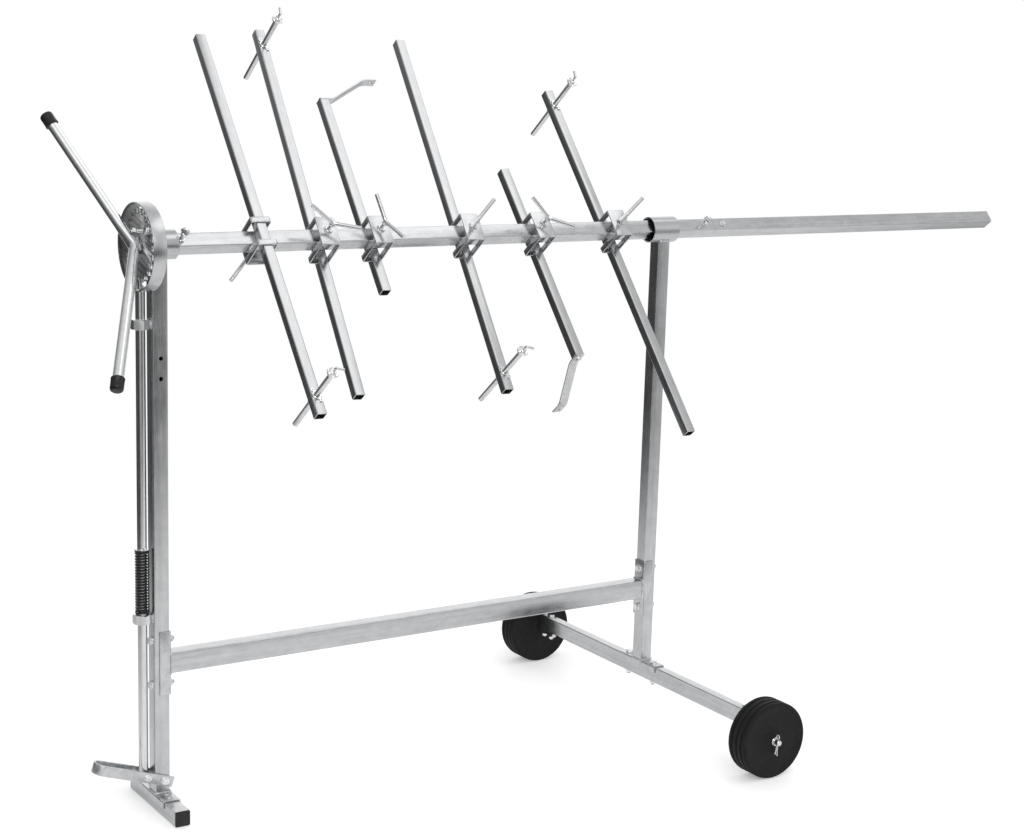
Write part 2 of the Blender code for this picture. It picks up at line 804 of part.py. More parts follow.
def clamp(number, frame):
    """A strap clamp: two closed rings round the shaft and the arm, joined by a plate with a screw."""
    name = f"clamp_{number}"
    height = CLAMP_FACE - CLAMP_BASE
    walls = profile_tube(CLAMP_WIDTH, height, -CLAMP_LENGTH / 2, CLAMP_LENGTH / 2, axis="Y", corner=0.003)
    walls.transform(Matrix.Translation((0, 0, (CLAMP_FACE + CLAMP_BASE) / 2)))
    ring_pair = part(name, walls, steel(name), frame)
    add_shell(ring_pair, CLAMP_SHEET)
    window_top = CLAMP_FACE - CLAMP_SHEET - 0.0015
    window_bottom = CLAMP_BASE - 0.01
    window = block(
        (CLAMP_WIDTH + 0.02, CLAMP_WINDOW, window_top - window_bottom),
        (0, 0, (window_top + window_bottom) / 2),
    )
    cut(ring_pair, window, f"{name}_window")
    cut(
        ring_pair,
        cylinder(SCREW_RADIUS + 0.0003, 0.02, (0, 0, CLAMP_FACE), sides=16),
        f"{name}_screw_hole",
    )


def lever(number, frame, direction):
    """The clamp's screw, with a V of round bar across its head."""
    name = f"lever_{number}"
    tip = TUBE / 2 + GAP
    angle = math.radians(direction)
    across = Vector((math.cos(angle), math.sin(angle), 0)) * math.cos(LEVER_RISE)
    along = across + Vector((0, 0, math.sin(LEVER_RISE)))
    other = -across + Vector((0, 0, math.sin(LEVER_RISE)))
    top = Vector((0, 0, LEVER_HEIGHT))
    bend = 0.008
    points = [top + other * LEVER_LEG]
    points += bent_corner(top + other * bend, top, top + along * bend, 4)
    points.append(top + along * LEVER_LEG)
    bar = round_bar(points, SCREW_RADIUS, name, detail=2)
    piece = part(name, bar, steel(name), frame)
    shank = cylinder(SCREW_RADIUS - 0.0002, LEVER_HEIGHT - tip, (0, 0, (LEVER_HEIGHT + tip) / 2), sides=16)
    combine(piece, shank, "UNION", f"{name}_shank")


def arm(number, frame, side, low, high, fitting):
    name = f"arm_{number}"
    tube = part(
        name,
        profile_tube(ARM, ARM, low, high, axis="Y", corner=0.0018),
        steel(name),
        frame,
        (0, 0, side * ARM_OFFSET),
    )
    add_shell(tube, WALL)
    if fitting.startswith("pin"):
        place = low + HOOK_PIN_INSET if fitting == "pin_low" else high - HOOK_PIN_INSET
        cut(
            tube,
            cylinder(HOOK_PIN_RADIUS + 0.0004, 0.05, (0, place, 0), sides=20),
            f"{name}_pin_hole",
        )
        return place
    return low if fitting == "strap_low" else high


def hook_pin(number, frame, side, place, fitting):
    """A round bar through the arm's end, with a head on its front end and a hook bent over the head."""
    tail = -HOOK_PIN_HALF
    top = HOOK_PIN_HALF
    head = top - HOOK_HEAD
    radius = HOOK_PIN_RADIUS
    bevel = 0.0015
    piece = turned(
        f"hook_pin_{number}",
        (
            (0, top),
            (HOOK_HEAD_RADIUS - bevel, top),
            (HOOK_HEAD_RADIUS, top - bevel),
            (HOOK_HEAD_RADIUS, head),
            (radius, head - bevel),
            (radius, tail + bevel),
            (radius - bevel, tail),
            (0, tail),
        ),
        steel(f"hook_pin_{number}"),
        sides=20,
        parent=frame,
        location=(0, place, side * ARM_OFFSET),
    )
    toward = Vector((math.cos(HOOK_SWING), math.sin(HOOK_SWING), 0))
    if fitting == "pin_high":
        toward = Vector((0, 1, 0))
    upward = Vector((0, 0, 1))
    start = upward * (top - HOOK_HEAD / 2)
    corner = upward * (top + HOOK_RISE)
    route = [start]
    route += bent_corner(corner - upward * HOOK_BEND, corner, corner + toward * HOOK_BEND, 4)
    route.append(corner + toward * HOOK_LENGTH)
    combine(piece, round_bar(route, HOOK_WIRE, f"hook_{number}"), "UNION", f"hook_{number}")


def hook_strap(number, frame, side, place, fitting):
    """A flat bar across the arm's end, stepped outward, with a hole near its tip."""
    name = f"hook_strap_{number}"
    foot = -ARM / 2
    first = foot + HOOK_STRAP_FOOT
    second = first + HOOK_STRAP_RUN
    route = [(foot, 0.0)]
    slope = Vector((HOOK_STRAP_RUN, HOOK_STRAP_RISE)).normalized()
    bend = 0.010
    corner = Vector((first, 0.0))
    far = Vector((second, HOOK_STRAP_RISE))
    level = Vector((1.0, 0.0))
    route += [tuple(p) for p in bent_corner(corner - level * bend, corner, corner + slope * bend, 4)]
    route += [tuple(p) for p in bent_corner(far - slope * bend, far, far + level * bend, 4)]
    route.append((second + HOOK_STRAP_TIP, HOOK_STRAP_RISE))
    strip = bmesh.new()
    rows = [
        (strip.verts.new((x, y, -ARM / 2)), strip.verts.new((x, y, ARM / 2))) for x, y in route
    ]
    for (a, b), (c, d) in zip(rows, rows[1:]):
        strip.faces.new((a, b, d, c))
    shape = mesh_from(strip, name)
    if fitting == "strap_high":
        turn = (0, 0, 0)
        location = (0, place + GAP, side * ARM_OFFSET)
    else:
        turn = (math.pi, math.pi / 2, 0)
        location = (0, place - GAP, side * ARM_OFFSET)
    piece = part(name, shape, steel(name), frame, location, turn)
    add_shell(piece, PLATE, offset=1)
    for x, y in ((0.0, 0.0), (second + HOOK_STRAP_TIP - 0.010, HOOK_STRAP_RISE)):
        cut(piece, cylinder(0.0032, 0.02, (x, y, 0), "Y", 16), f"{name}_hole_{int(1000 * x)}")


def arms():
    """Each arm has its own frame: X across the arm, Y along it, Z out of the shaft's front face."""
    tilt = Matrix.Rotation(SHAFT_TURN, 4, "X")
    for number, (x, lean, side, low, high, direction, fitting) in enumerate(ARMS, start=1):
        matrix = tilt @ Matrix.Rotation(math.radians(-lean), 4, "Z")
        frame = empty(f"arm_frame_{number}", (x, 0, SHAFT_HEIGHT), matrix.to_euler())
        screw_side = empty(f"clamp_frame_{number}", (0, 0, 0), (0, 0 if side < 0 else math.pi, 0))
        screw_side.parent = frame
        clamp(number, screw_side)
        lever(number, screw_side, direction if side < 0 else 180 - direction)
        place = arm(number, frame, side, low, high, fitting)
        if fitting.startswith("pin"):
            hook_pin(number, frame, side, place, fitting)
        else:
            hook_strap(number, frame, side, place, fitting)


clear_scene()
PARTS = new_collection("rotating_panel_stand")
CUTTERS = new_collection("cutters")
posts()
bearings()
foot()
axle_beam()
wheels()
stretcher()
index_guard()
rod_guides()
lock_rod()
return_spring()
pedal()
SHAFT_FRAME = shaft()
index_disc(SHAFT_FRAME)
handle()
arms()
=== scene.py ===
"""Looks of the rotating panel stand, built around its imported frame. Sizes are metres."""

import json
import math

import bmesh
import bpy
from mathutils import Matrix, Vector


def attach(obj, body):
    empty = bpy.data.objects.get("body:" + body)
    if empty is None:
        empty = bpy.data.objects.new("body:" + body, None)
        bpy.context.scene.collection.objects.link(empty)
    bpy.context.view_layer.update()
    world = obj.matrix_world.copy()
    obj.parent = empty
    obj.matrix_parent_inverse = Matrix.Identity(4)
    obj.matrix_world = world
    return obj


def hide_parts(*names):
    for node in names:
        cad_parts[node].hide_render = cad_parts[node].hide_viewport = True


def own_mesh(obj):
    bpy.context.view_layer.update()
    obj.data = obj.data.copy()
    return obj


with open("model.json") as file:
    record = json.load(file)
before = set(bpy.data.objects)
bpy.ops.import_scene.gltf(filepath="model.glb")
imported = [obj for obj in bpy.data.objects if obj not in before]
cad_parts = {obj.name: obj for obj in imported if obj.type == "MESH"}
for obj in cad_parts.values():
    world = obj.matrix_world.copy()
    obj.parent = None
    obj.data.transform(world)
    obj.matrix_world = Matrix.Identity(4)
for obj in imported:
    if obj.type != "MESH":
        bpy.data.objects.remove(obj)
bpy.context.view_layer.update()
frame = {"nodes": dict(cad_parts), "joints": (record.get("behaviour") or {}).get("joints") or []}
NODES = frame["nodes"]
JOINTS = {joint["name"]: joint for joint in frame["joints"]}
ARM_COUNT = 6

# Camera: where the stand was seen from
CAMERA_PLACE = (-1.3312, -3.2463, 1.4418)
CAMERA_YAW = math.radians(-33.04)
CAMERA_PITCH = math.radians(-10.915)
CAMERA_ROLL = math.radians(1.727)
CAMERA_LENS = 66.92
SENSOR_WIDTH = 36.0

# Stock and finish sizes
WALL = 0.0015
TUBE_CORNER = 0.0024
EDGE = 0.0004
PLATE = 0.003
CLAMP_SHEET = 0.0025
WELD = 0.0022
ROD_PIN_RADIUS = 0.0025
# Heads: width across flats, height, shank radius. Nuts: the same, and the end that stands out
M8_HEAD = 0.013, 0.0055, 0.004
LOW_M8_HEAD = 0.013, 0.0053, 0.004
M6_HEAD = 0.010, 0.0042, 0.003
M8_NUT = 0.013, 0.0065, 0.004, 0.004
M6_NUT = 0.010, 0.005, 0.003, 0.003
HOLE_RADIUS = 0.004
HOOP_DROP = 0.003
HOOP_GAP = 0.0142
HANDLE_TURN = math.radians(53.3)
HANDLE_DROP = 0.003
HANDLE_FLARE = math.radians(19.9)


# ---------------------------------------------------------------- places

HERE = Matrix.Identity(4)
SIDES = (("front", -1), ("rear", 1))


def axes(x, y, z, origin):
    """A matrix with the given axes, standing at origin."""
    made = Matrix.Identity(4)
    for column, axis in enumerate((x, y, z)):
        for row in range(3):
            made[row][column] = axis[row]
    made.translation = origin
    return made


def moved(x, y, z):
    return Matrix.Translation((x, y, z))


def spun(angle):
    return Matrix.Rotation(angle, 4, "Z")


def vertices(node, matrix):
    """A CAD node's vertices in matrix's own axes."""
    inverse = matrix.inverted()
    return [inverse @ v.co for v in NODES[node].data.vertices]


def spans(node, matrix=HERE):
    """A CAD node's lowest and highest corners, measured in matrix's own axes."""
    spots = vertices(node, matrix)
    low = Vector(min(s[i] for s in spots) for i in range(3))
    high = Vector(max(s[i] for s in spots) for i in range(3))
    return low, high


EX = Vector((1, 0, 0))
EY = Vector((0, 1, 0))
EZ = Vector((0, 0, 1))
SHAFT_AXIS = Vector(JOINTS["shaft_turn"]["pos_m"])
FRONT = Vector(JOINTS["hook_pin_1_slide"]["axis"]).normalized()
RISE = FRONT.cross(EX)
SHAFT = axes(EX, RISE, FRONT, SHAFT_AXIS)
ALONG_SHAFT = axes(RISE, FRONT, EX, SHAFT_AXIS)
WORLD_ALONG_X = axes(EY, EZ, EX, Vector())
WORLD_ALONG_Y = axes(EZ, EX, EY, Vector())


def arm_frame(number):
    """X across the arm, Y along it, Z out of the shaft's front face, from the arm's place on the shaft."""
    along = Vector(JOINTS[f"arm_{number}_slide"]["axis"]).normalized()
    place = Vector(JOINTS[f"lever_{number}_turn"]["pos_m"])
    place.y = SHAFT_AXIS.y
    place.z = SHAFT_AXIS.z
    return axes(along.cross(FRONT), along, FRONT, place)


def clamp_frame(number):
    """The arm's frame, turned so that Z points out of the side that carries the screw."""
    made = arm_frame(number)
    out = Vector(JOINTS[f"lever_{number}_turn"]["axis"])
    if out.dot(FRONT) < 0:
        made = made @ Matrix.Rotation(math.pi, 4, "Y")
    return made


# ---------------------------------------------------------------- meshes

def finish_mesh(shape, name, angle):
    bmesh.ops.recalc_face_normals(shape, faces=shape.faces)
    made = bpy.data.meshes.new(name)
    shape.to_mesh(made)
    shape.free()
    made.shade_smooth()
    made.set_sharp_from_angle(angle=math.radians(angle))
    return made


def loops_mesh(loops, name, closed=False, caps=False, angle=35):
    """Joins loops of points, each with the same count, into a skin."""
    shape = bmesh.new()
    rows = [[shape.verts.new(p) for p in loop] for loop in loops]
    pairs = list(zip(rows, rows[1:]))
    if closed:
        pairs.append((rows[-1], rows[0]))
    for first, second in pairs:
        count = len(first)
        for k in range(count):
            after = (k + 1) % count
            shape.faces.new((first[k], first[after], second[after], second[k]))
    if caps:
        shape.faces.new(rows[0])
        shape.faces.new(rows[-1])
    return finish_mesh(shape, name, angle)


def rounded_rectangle(width, height, corner, segments=5, inset=0.0):
    """Points round a rectangle with rounded corners, shrunk by inset."""
    half_x = width / 2 - inset
    half_y = height / 2 - inset
    radius = max(corner - inset, 0.0002)
    made = []
    for quarter, (sx, sy) in enumerate(((1, 1), (-1, 1), (-1, -1), (1, -1))):
        for step in range(segments + 1):
            angle = math.pi / 2 * (quarter + step / segments)
            made.append(
                (
                    sx * (half_x - radius) + radius * math.cos(angle),
                    sy * (half_y - radius) + radius * math.sin(angle)
                )
            )
    return made


def tube_mesh(name, width, height, start, end, wall, corner):
    """A rectangular tube along Z with rounded corners and eased ends."""
    rings = (
        (0.0, start + EDGE), (0.0, end - EDGE), (EDGE, end), (wall, end), (wall, start), (EDGE, start)
    )
    loops = []
    for inset, z in rings:
        loops.append([(x, y, z) for x, y in rounded_rectangle(width, height, corner, inset=inset)])
    return loops_mesh(loops, name, closed=True)


def turned_mesh(name, profile, sides, closed=False, angle=35):
    """Turns (radius, height) points about Z. A radius of 0 closes that end."""
    shape = bmesh.new()
    rows = []
    for radius, height in profile:
        if radius < 1e-7:
            rows.append([shape.verts.new((0, 0, height))])
            continue
        rows.append([shape.verts.new((x, y, height)) for x, y in round_section(radius, sides)])
    pairs = list(zip(rows, rows[1:]))
    if closed:
        pairs.append((rows[-1], rows[0]))
    for first, second in pairs:
        for k in range(sides):
            after = (k + 1) % sides
            if len(first) == 1 and len(second) == 1:
                continue
            if len(first) == 1:
                shape.faces.new((first[0], second[after], second[k]))
            elif len(second) == 1:
                shape.faces.new((first[k], first[after], second[0]))
            else:
                shape.faces.new((first[k], first[after], second[after], second[k]))
    return finish_mesh(shape, name, angle)


def round_section(radius, sides):
    """Points round a circle."""
    return [
        (radius * math.cos(math.tau * k / sides), radius * math.sin(math.tau * k / sides))
        for k in range(sides)
    ]


def swept_mesh(name, route, section, up=None, angle=40, scales=None):
    """Sweeps a section along a route. With up, the section's second axis stays along it."""
    points = [Vector(p) for p in route]
    loops = []
    side = None
    for k, point in enumerate(points):
        before = (point - points[k - 1]).normalized() if k else None
        after = (points[k + 1] - point).normalized() if k + 1 < len(points) else None
        heading = (before or after) + (after or before)
        heading.normalize()
        stretch = 1.0
        if before and after:
            stretch = 1.0 / max(before.dot(heading), 0.3)
        if up is not None:
            across = Vector(up).cross(heading).normalized()
            second = Vector(up)
        else:
            if side is None:
                seed = EZ if abs(heading.z) < 0.9 else EX
                side = seed.cross(heading).normalized()
            side = (side - heading * side.dot(heading)).normalized()
            across = side
            second = heading.cross(side).normalized()
            stretch = 1.0
        scale = scales[k] if scales else 1.0
        loops.append([point + across * (a * stretch * scale) + second * (b * scale) for a, b in section])
    return loops_mesh(loops, name, caps=True, angle=angle)


def rod_route(points, bend, steps=8):
    """A polyline with each inner corner replaced by a smooth bend."""
    spots = [Vector(p) for p in points]
    made = [spots[0]]
    for before, corner, after in zip(spots, spots[1:], spots[2:]):
        reach = min(bend, (before - corner).length * 0.49, (after - corner).length * 0.49)
        start = corner + (before - corner).normalized() * reach
        end = corner + (after - corner).normalized() * reach
        for step in range(steps + 1):
            t = step / steps
            made.append(start * (1 - t) ** 2 + corner * (2 * t * (1 - t)) + end * t**2)
    made.append(spots[-1])
    return made


def bar_mesh(name, points, radius, bend=0.01, sides=20, ease=0.0008):
    """A round bar along points with eased ends."""
    route = rod_route(points, bend)
    first = (route[1] - route[0]).normalized()
    last = (route[-2] - route[-1]).normalized()
    route = [route[0], route[0] + first * ease] + route[1:-1] + [route[-1] + last * ease, route[-1]]
    scales = [1 - ease / radius] + [1.0] * (len(route) - 2) + [1 - ease / radius]
    return swept_mesh(name, route, round_section(radius, sides), scales=scales)


def hexagon_mesh(name, flats, height, bore=0.0, both=False, per_side=6):
    """A hexagon head or nut along Z from 0 to height, with chamfered corners."""
    count = 6 * per_side
    outer = []
    for k in range(count):
        angle = math.tau * k / count
        within = (angle % (math.pi / 3)) - math.pi / 6
        outer.append((angle, flats / 2 / math.cos(within)))
    flat_radius = flats / 2 * 0.97
    slope = math.tan(math.radians(28))

    def ring(radius_of, z_of):
        return [(radius_of(r) * math.cos(a), radius_of(r) * math.sin(a), z_of(r)) for a, r in outer]

    low_cut = (lambda r: (r - flat_radius) * slope) if both else (lambda r: 0.0)
    loops = []
    if bore:
        loops.append(ring(lambda r: bore, lambda r: height - 0.0008))
        loops.append(ring(lambda r: bore + 0.0008, lambda r: height))
    loops.append(ring(lambda r: flat_radius, lambda r: height))
    loops.append(ring(lambda r: r, lambda r: height - (r - flat_radius) * slope))
    loops.append(ring(lambda r: r, low_cut))
    if both:
        loops.append(ring(lambda r: flat_radius, lambda r: 0.0))
    if bore:
        loops.append(ring(lambda r: bore + 0.0008, lambda r: 0.0))
        loops.append(ring(lambda r: bore, lambda r: 0.0008))
        return loops_mesh(loops, name, closed=True, angle=25)
    return loops_mesh(loops, name, caps=True, angle=25)


def flat_mesh(name, outline, thickness, ease):
    """A flat outline in XY, thickness along Z about 0, with eased rims."""
    shape = bmesh.new()
    verts = [shape.verts.new((x, y, -thickness / 2)) for x, y in outline]
    face = shape.faces.new(verts)
    pushed = bmesh.ops.extrude_face_region(shape, geom=[face])
    raised = [g for g in pushed["geom"] if isinstance(g, bmesh.types.BMVert)]
    bmesh.ops.translate(shape, vec=(0, 0, thickness), verts=raised)
    bmesh.ops.recalc_face_normals(shape, faces=shape.faces)
    rims = [e for e in shape.edges if abs(e.verts[0].co.z - e.verts[1].co.z) < 1e-7]
    bmesh.ops.bevel(shape, geom=rims, offset=ease, segments=2, affect="EDGES", profile=0.5)
    return finish_mesh(shape, name, 35)


def joined(name, meshes):
    """One mesh out of several, each given with its matrix."""
    shape = bmesh.new()
    for mesh, matrix in meshes:
        mesh.transform(matrix)
        shape.from_mesh(mesh)
        bpy.data.meshes.remove(mesh)
    made = bpy.data.meshes.new(name)
    shape.to_mesh(made)
    shape.free()
    return made


def bead_mesh(name, route, radius, seed, closed):
    """A weld bead: a rippled rope along route."""
    points = [Vector(p) for p in route]
    fine = []
    count = len(points) if closed else len(points) - 1
    for k in range(count):
        first = points[k]
        second = points[(k + 1) % len(points)]
        steps = max(2, int((second - first).length / 0.0007))
        fine += [first.lerp(second, step / steps) for step in range(steps)]
    if closed:
        fine.append(fine[0])
    else:
        fine.append(points[-1])
    scales = []
    for k in range(len(fine)):
        ripple = 0.13 * math.sin(k * 2.1 + seed) + 0.08 * math.sin(k * 0.53 + 2 * seed)
        scales.append(1 + ripple)
    if not closed:
        for k in range(min(3, len(fine) // 2)):
            fade = (k + 1) / 4
            scales[k] *= fade
            scales[-1 - k] *= fade
    return swept_mesh(name, fine, round_section(radius, 8), scales=scales, angle=60)


# ---------------------------------------------------------------- pieces

def add_object(name, data, place=HERE):
    made = bpy.data.objects.new(name, data)
    bpy.context.scene.collection.objects.link(made)
    made.matrix_world = place
    return made


def piece(name, mesh, matrix, body, finish, replaces=()):
    """Adds a mesh as a piece that rides on a body. A finish is a slot's name and a material."""
    slot, material = finish
    made = add_object(name, mesh, matrix)
    mesh.materials.clear()
    mesh.materials.append(material)
    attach(made, body)
    if replaces:
        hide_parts(*replaces)
    return made


def carve(target, cutters):
    """Cuts meshes, given in target's own space, out of it for good."""
    for k, shape in enumerate(cutters):
        helper = add_object(f"cutter_{k}", shape, target.matrix_world)
        change = target.modifiers.new(f"cut_{k}", "BOOLEAN")
        change.object = helper
        change.solver = "EXACT"
        bpy.context.view_layer.update()
        evaluated = target.evaluated_get(bpy.context.evaluated_depsgraph_get())
        made = bpy.data.meshes.new_from_object(evaluated)
        target.modifiers.clear()
        target.data = made
        bpy.data.objects.remove(helper, do_unlink=True)
    target.data.shade_smooth()
    target.data.set_sharp_from_angle(angle=math.radians(32))


def drill(radius, depth, centre, direction, sides=40):
    """A cylinder for carve, along direction through centre."""
    half = depth / 2
    mesh = turned_mesh("drill", ((0, half), (radius, half), (radius, -half), (0, -half)), sides)
    turn = Vector(direction).to_track_quat("Z", "X").to_matrix().to_4x4()
    mesh.transform(Matrix.Translation(centre) @ turn)
    return mesh


# ---------------------------------------------------------------- materials

def new_material(name):
    """A material with its node tree, its shader and the coordinates of the piece's own space."""
    made = bpy.data.materials.new(name)
    made.use_nodes = True
    tree = made.node_tree
    return made, tree, tree.nodes["Principled BSDF"], own_space(tree)


def feed(tree, node, inputs):
    """Gives a node's inputs plain values or other nodes' outputs."""
    for key, value in inputs.items():
        socket = node.inputs[key]
        if isinstance(value, bpy.types.NodeSocket):
            tree.links.new(value, socket)
        elif socket.type == "RGBA":
            socket.default_value = (*value, 1.0)
        else:
            socket.default_value = value


def add_node(tree, kind, inputs=None, **values):
    made = tree.nodes.new(kind)
    for key, value in values.items():
        setattr(made, key, value)
    feed(tree, made, inputs or {})
    return made


def own_space(tree):
    return add_node(tree, "ShaderNodeTexCoord").outputs["Object"]


def noise(tree, source, stretch, scale, detail, roughness=0.55):
    """Noise in the piece's own space, stretched by a factor for each axis."""
    stretched = add_node(tree, "ShaderNodeMapping", {"Vector": source, "Scale": stretch}).outputs["Vector"]
    inputs = {"Vector": stretched, "Scale": scale, "Detail": detail, "Roughness": roughness}
    return add_node(tree, "ShaderNodeTexNoise", inputs).outputs["Fac"]


def ramp(tree, source, low, high, first, last):
    """Maps source between low and high to values between first and last."""
    inputs = {"Value": source, "From Min": low, "From Max": high, "To Min": first, "To Max": last}
    return add_node(tree, "ShaderNodeMapRange", inputs).outputs["Result"]


def mixed(tree, factor, first, second):
    """A colour between first and second."""
    made = add_node(tree, "ShaderNodeMix", data_type="RGBA")
    first_place, second_place = [k for k, socket in enumerate(made.inputs) if socket.type == "RGBA"]
    feed(tree, made, {"Factor": factor, first_place: first, second_place: second})
    return [o for o in made.outputs if o.type == "RGBA"][0]


def summed(tree, first, second, operation="ADD"):
    return add_node(tree, "ShaderNodeMath", {0: first, 1: second}, operation=operation).outputs["Value"]


def dotted(tree, first, second):
    inputs = {0: first, 1: second}
    return add_node(tree, "ShaderNodeVectorMath", inputs, operation="DOT_PRODUCT").outputs["Value"]


def bump(tree, shader, height, strength, distance):
    made = add_node(tree, "ShaderNodeBump", {"Strength": strength, "Distance": distance, "Height": height})
    feed(tree, shader, {"Normal": made.outputs["Normal"]})


def plated_steel(name, light, dark, rough, drawn=(1, 1, 0.03), line_scale=900.0, cloud=(0.02, 0.05)):
    """Zinc-plated steel: drawing lines, cloudy plating, small stains and scratches."""
    made, tree, shader, coords = new_material(name)
    lines = noise(tree, coords, drawn, line_scale, 3.0)
    wide_lines = noise(tree, coords, drawn, line_scale / 6, 2.0)
    clouds = noise(tree, coords, (1, 1, 0.6), 28.0, 5.0, 0.6)
    grain = noise(tree, coords, (1, 1, 1), 1400.0, 2.0)
    stains = noise(tree, coords, (1, 1, 0.5), 95.0, 4.0, 0.65)
    tone = summed(tree, summed(tree, clouds, wide_lines), stains)
    tone = ramp(tree, tone, 1.15, 1.85, 0.0, 1.0)
    colour = mixed(tree, tone, dark, light)
    gloss = ramp(tree, clouds, 0.3, 0.7, -cloud[0], cloud[1])
    gloss = summed(tree, gloss, ramp(tree, lines, 0.3, 0.7, -0.03, 0.04))
    gloss = summed(tree, gloss, rough)
    height = summed(tree, summed(tree, lines, grain), ramp(tree, clouds, 0, 1, 0, 0.4))
    bump(tree, shader, height, 0.05, 0.0002)
    feed(tree, shader, {"Base Color": colour, "Roughness": gloss, "Metallic": 1.0})
    return made


def turned_steel(name, light, dark, rough, inner=1.0):
    """Steel finished on a lathe, with rings round the piece's Z axis. With inner below 1, its inward-facing
    side gets painted shade: the dark colour scaled by inner.
    """
    made, tree, shader, coords = new_material(name)
    split = add_node(tree, "ShaderNodeSeparateXYZ", {"Vector": coords})
    square = summed(
        tree, summed(tree, split.outputs["X"], split.outputs["X"], "MULTIPLY"),
        summed(tree, split.outputs["Y"], split.outputs["Y"], "MULTIPLY")
    )
    radius = summed(tree, square, 0.5, "POWER")
    gather = add_node(tree, "ShaderNodeCombineXYZ", {"X": radius, "Y": split.outputs["Z"]})
    rings = noise(tree, gather.outputs["Vector"], (1, 1, 1), 1500.0, 4.0, 0.7)
    clouds = noise(tree, coords, (1, 1, 1), 40.0, 4.0, 0.6)
    tone = mixed(tree, ramp(tree, rings, 0.35, 0.65, 0.0, 1.0), dark, light)
    # Painted shade: faces turned in towards the Z axis take a darker colour, standing in for the shadow
    # inside the hoop.
    if inner < 1:
        facing_out = dotted(tree, coords, add_node(tree, "ShaderNodeTexCoord").outputs["Normal"])
        outside = ramp(tree, facing_out, -0.004, 0.004, 0.0, 1.0)
        tone = mixed(tree, outside, tuple(inner * c for c in dark), tone)
    gloss = ramp(tree, rings, 0.3, 0.7, -0.05, 0.08)
    gloss = summed(tree, gloss, ramp(tree, clouds, 0.3, 0.7, -0.03, 0.04))
    bump(tree, shader, rings, 0.04, 0.0002)
    feed(tree, shader, {"Base Color": tone, "Roughness": summed(tree, gloss, rough), "Metallic": 1.0})
    return made


def weld_metal(name):
    """A weld bead under zinc: duller, mottled, with a faint heat tint."""
    made, tree, shader, coords = new_material(name)
    mottle = noise(tree, coords, (1, 1, 1), 420.0, 5.0, 0.7)
    clouds = noise(tree, coords, (1, 1, 1), 110.0, 3.0)
    tone = ramp(tree, summed(tree, mottle, clouds), 0.75, 1.25, 0.0, 1.0)
    colour = mixed(tree, tone, (0.46, 0.46, 0.47), (0.86, 0.86, 0.86))
    rough = ramp(tree, mottle, 0.3, 0.7, 0.30, 0.48)
    bump(tree, shader, mottle, 0.35, 0.0004)
    feed(tree, shader, {"Base Color": colour, "Roughness": rough, "Metallic": 1.0})
    return made


def moulded_plastic(name, light, dark, rough, pit=900.0, strength=0.25, shine=0.40):
    """Moulded black plastic: spark-eroded grain, rubbed patches and dust."""
    made, tree, shader, coords = new_material(name)
    grain = noise(tree, coords, (1, 1, 1), pit, 4.0, 0.7)
    rubbed = noise(tree, coords, (1, 1, 1), 45.0, 4.0, 0.6)
    dust = noise(tree, coords, (1, 1, 1), 210.0, 5.0, 0.7)
    tone = ramp(tree, summed(tree, rubbed, dust), 0.85, 1.35, 0.0, 1.0)
    colour = mixed(tree, tone, dark, light)
    gloss = summed(tree, ramp(tree, rubbed, 0.3, 0.7, -0.06, 0.08), rough)
    bump(tree, shader, summed(tree, grain, ramp(tree, dust, 0, 1, 0, 0.5)), strength, 0.0003)
    feed(tree, shader, {"Base Color": colour, "Roughness": gloss, "Specular IOR Level": shine})
    return made


ZINC = "zinc_plate", plated_steel("zinc_plate", (0.60, 0.61, 0.62), (0.47, 0.48, 0.49), 0.21)
ARM_ZINC = "zinc_plate", plated_steel("arm_zinc", (0.57, 0.58, 0.59), (0.48, 0.49, 0.50), 0.20)
SHEET = "zinc_plate", plated_steel(
    "pressed_zinc", (0.64, 0.65, 0.66), (0.49, 0.50, 0.51), 0.24, (1, 1, 1), 500.0, (0.03, 0.07)
)
BRIGHT = "bright_bar", plated_steel(
    "bright_bar", (0.76, 0.77, 0.78), (0.61, 0.62, 0.63), 0.15, (1, 1, 0.05), 1100.0
)
HANDLE_ZINC = "zinc_plate", plated_steel(
    "handle_zinc", (0.86, 0.87, 0.88), (0.74, 0.75, 0.76), 0.18, (1, 1, 0.04), 900.0
)
FASTENER = "fastener_zinc", plated_steel(
    "bright_zinc_fasteners", (0.90, 0.90, 0.90), (0.68, 0.69, 0.70), 0.17, (1, 1, 1), 1300.0, (0.03, 0.06)
)
DISC_STEEL = "turned_steel", turned_steel("turned_disc", (0.74, 0.74, 0.75), (0.64, 0.64, 0.65), 0.27)
SLEEVE_STEEL = "zinc_plate", turned_steel("turned_sleeve", (0.56, 0.57, 0.58), (0.45, 0.46, 0.47), 0.23)
# The hoop strip's inward face carries painted shade, a quarter of its dark colour.
HOOP_STEEL = "zinc_plate", turned_steel(
    "hoop_strip", (0.60, 0.61, 0.62), (0.48, 0.49, 0.50), 0.23, inner=0.25
)
WELD_METAL = "zinc_plate", weld_metal("weld_bead")
BRIGHT_WELD = "bright_bar", WELD_METAL[1]
BLACK = "black_plastic", moulded_plastic(
    "black_plastic", (0.018, 0.018, 0.019), (0.005, 0.005, 0.006), 0.30
)
WHEEL_BLACK = "wheel_plastic", moulded_plastic(
    "wheel_plastic", (0.015, 0.015, 0.016), (0.004, 0.004, 0.005), 0.60, 650.0, 0.35, 0.22
)
SPRING_BLACK = "spring_black", moulded_plastic(
    "black_spring", (0.020, 0.020, 0.021), (0.006, 0.006, 0.007), 0.26, 1200.0, 0.10
)


def weld(name, route, radius=WELD, seed=0, closed=False, place=HERE, body="frame", finish=WELD_METAL):
    piece(name, bead_mesh(name, route, radius, seed, closed), place, body, finish)


# ---------------------------------------------------------------- square tubes

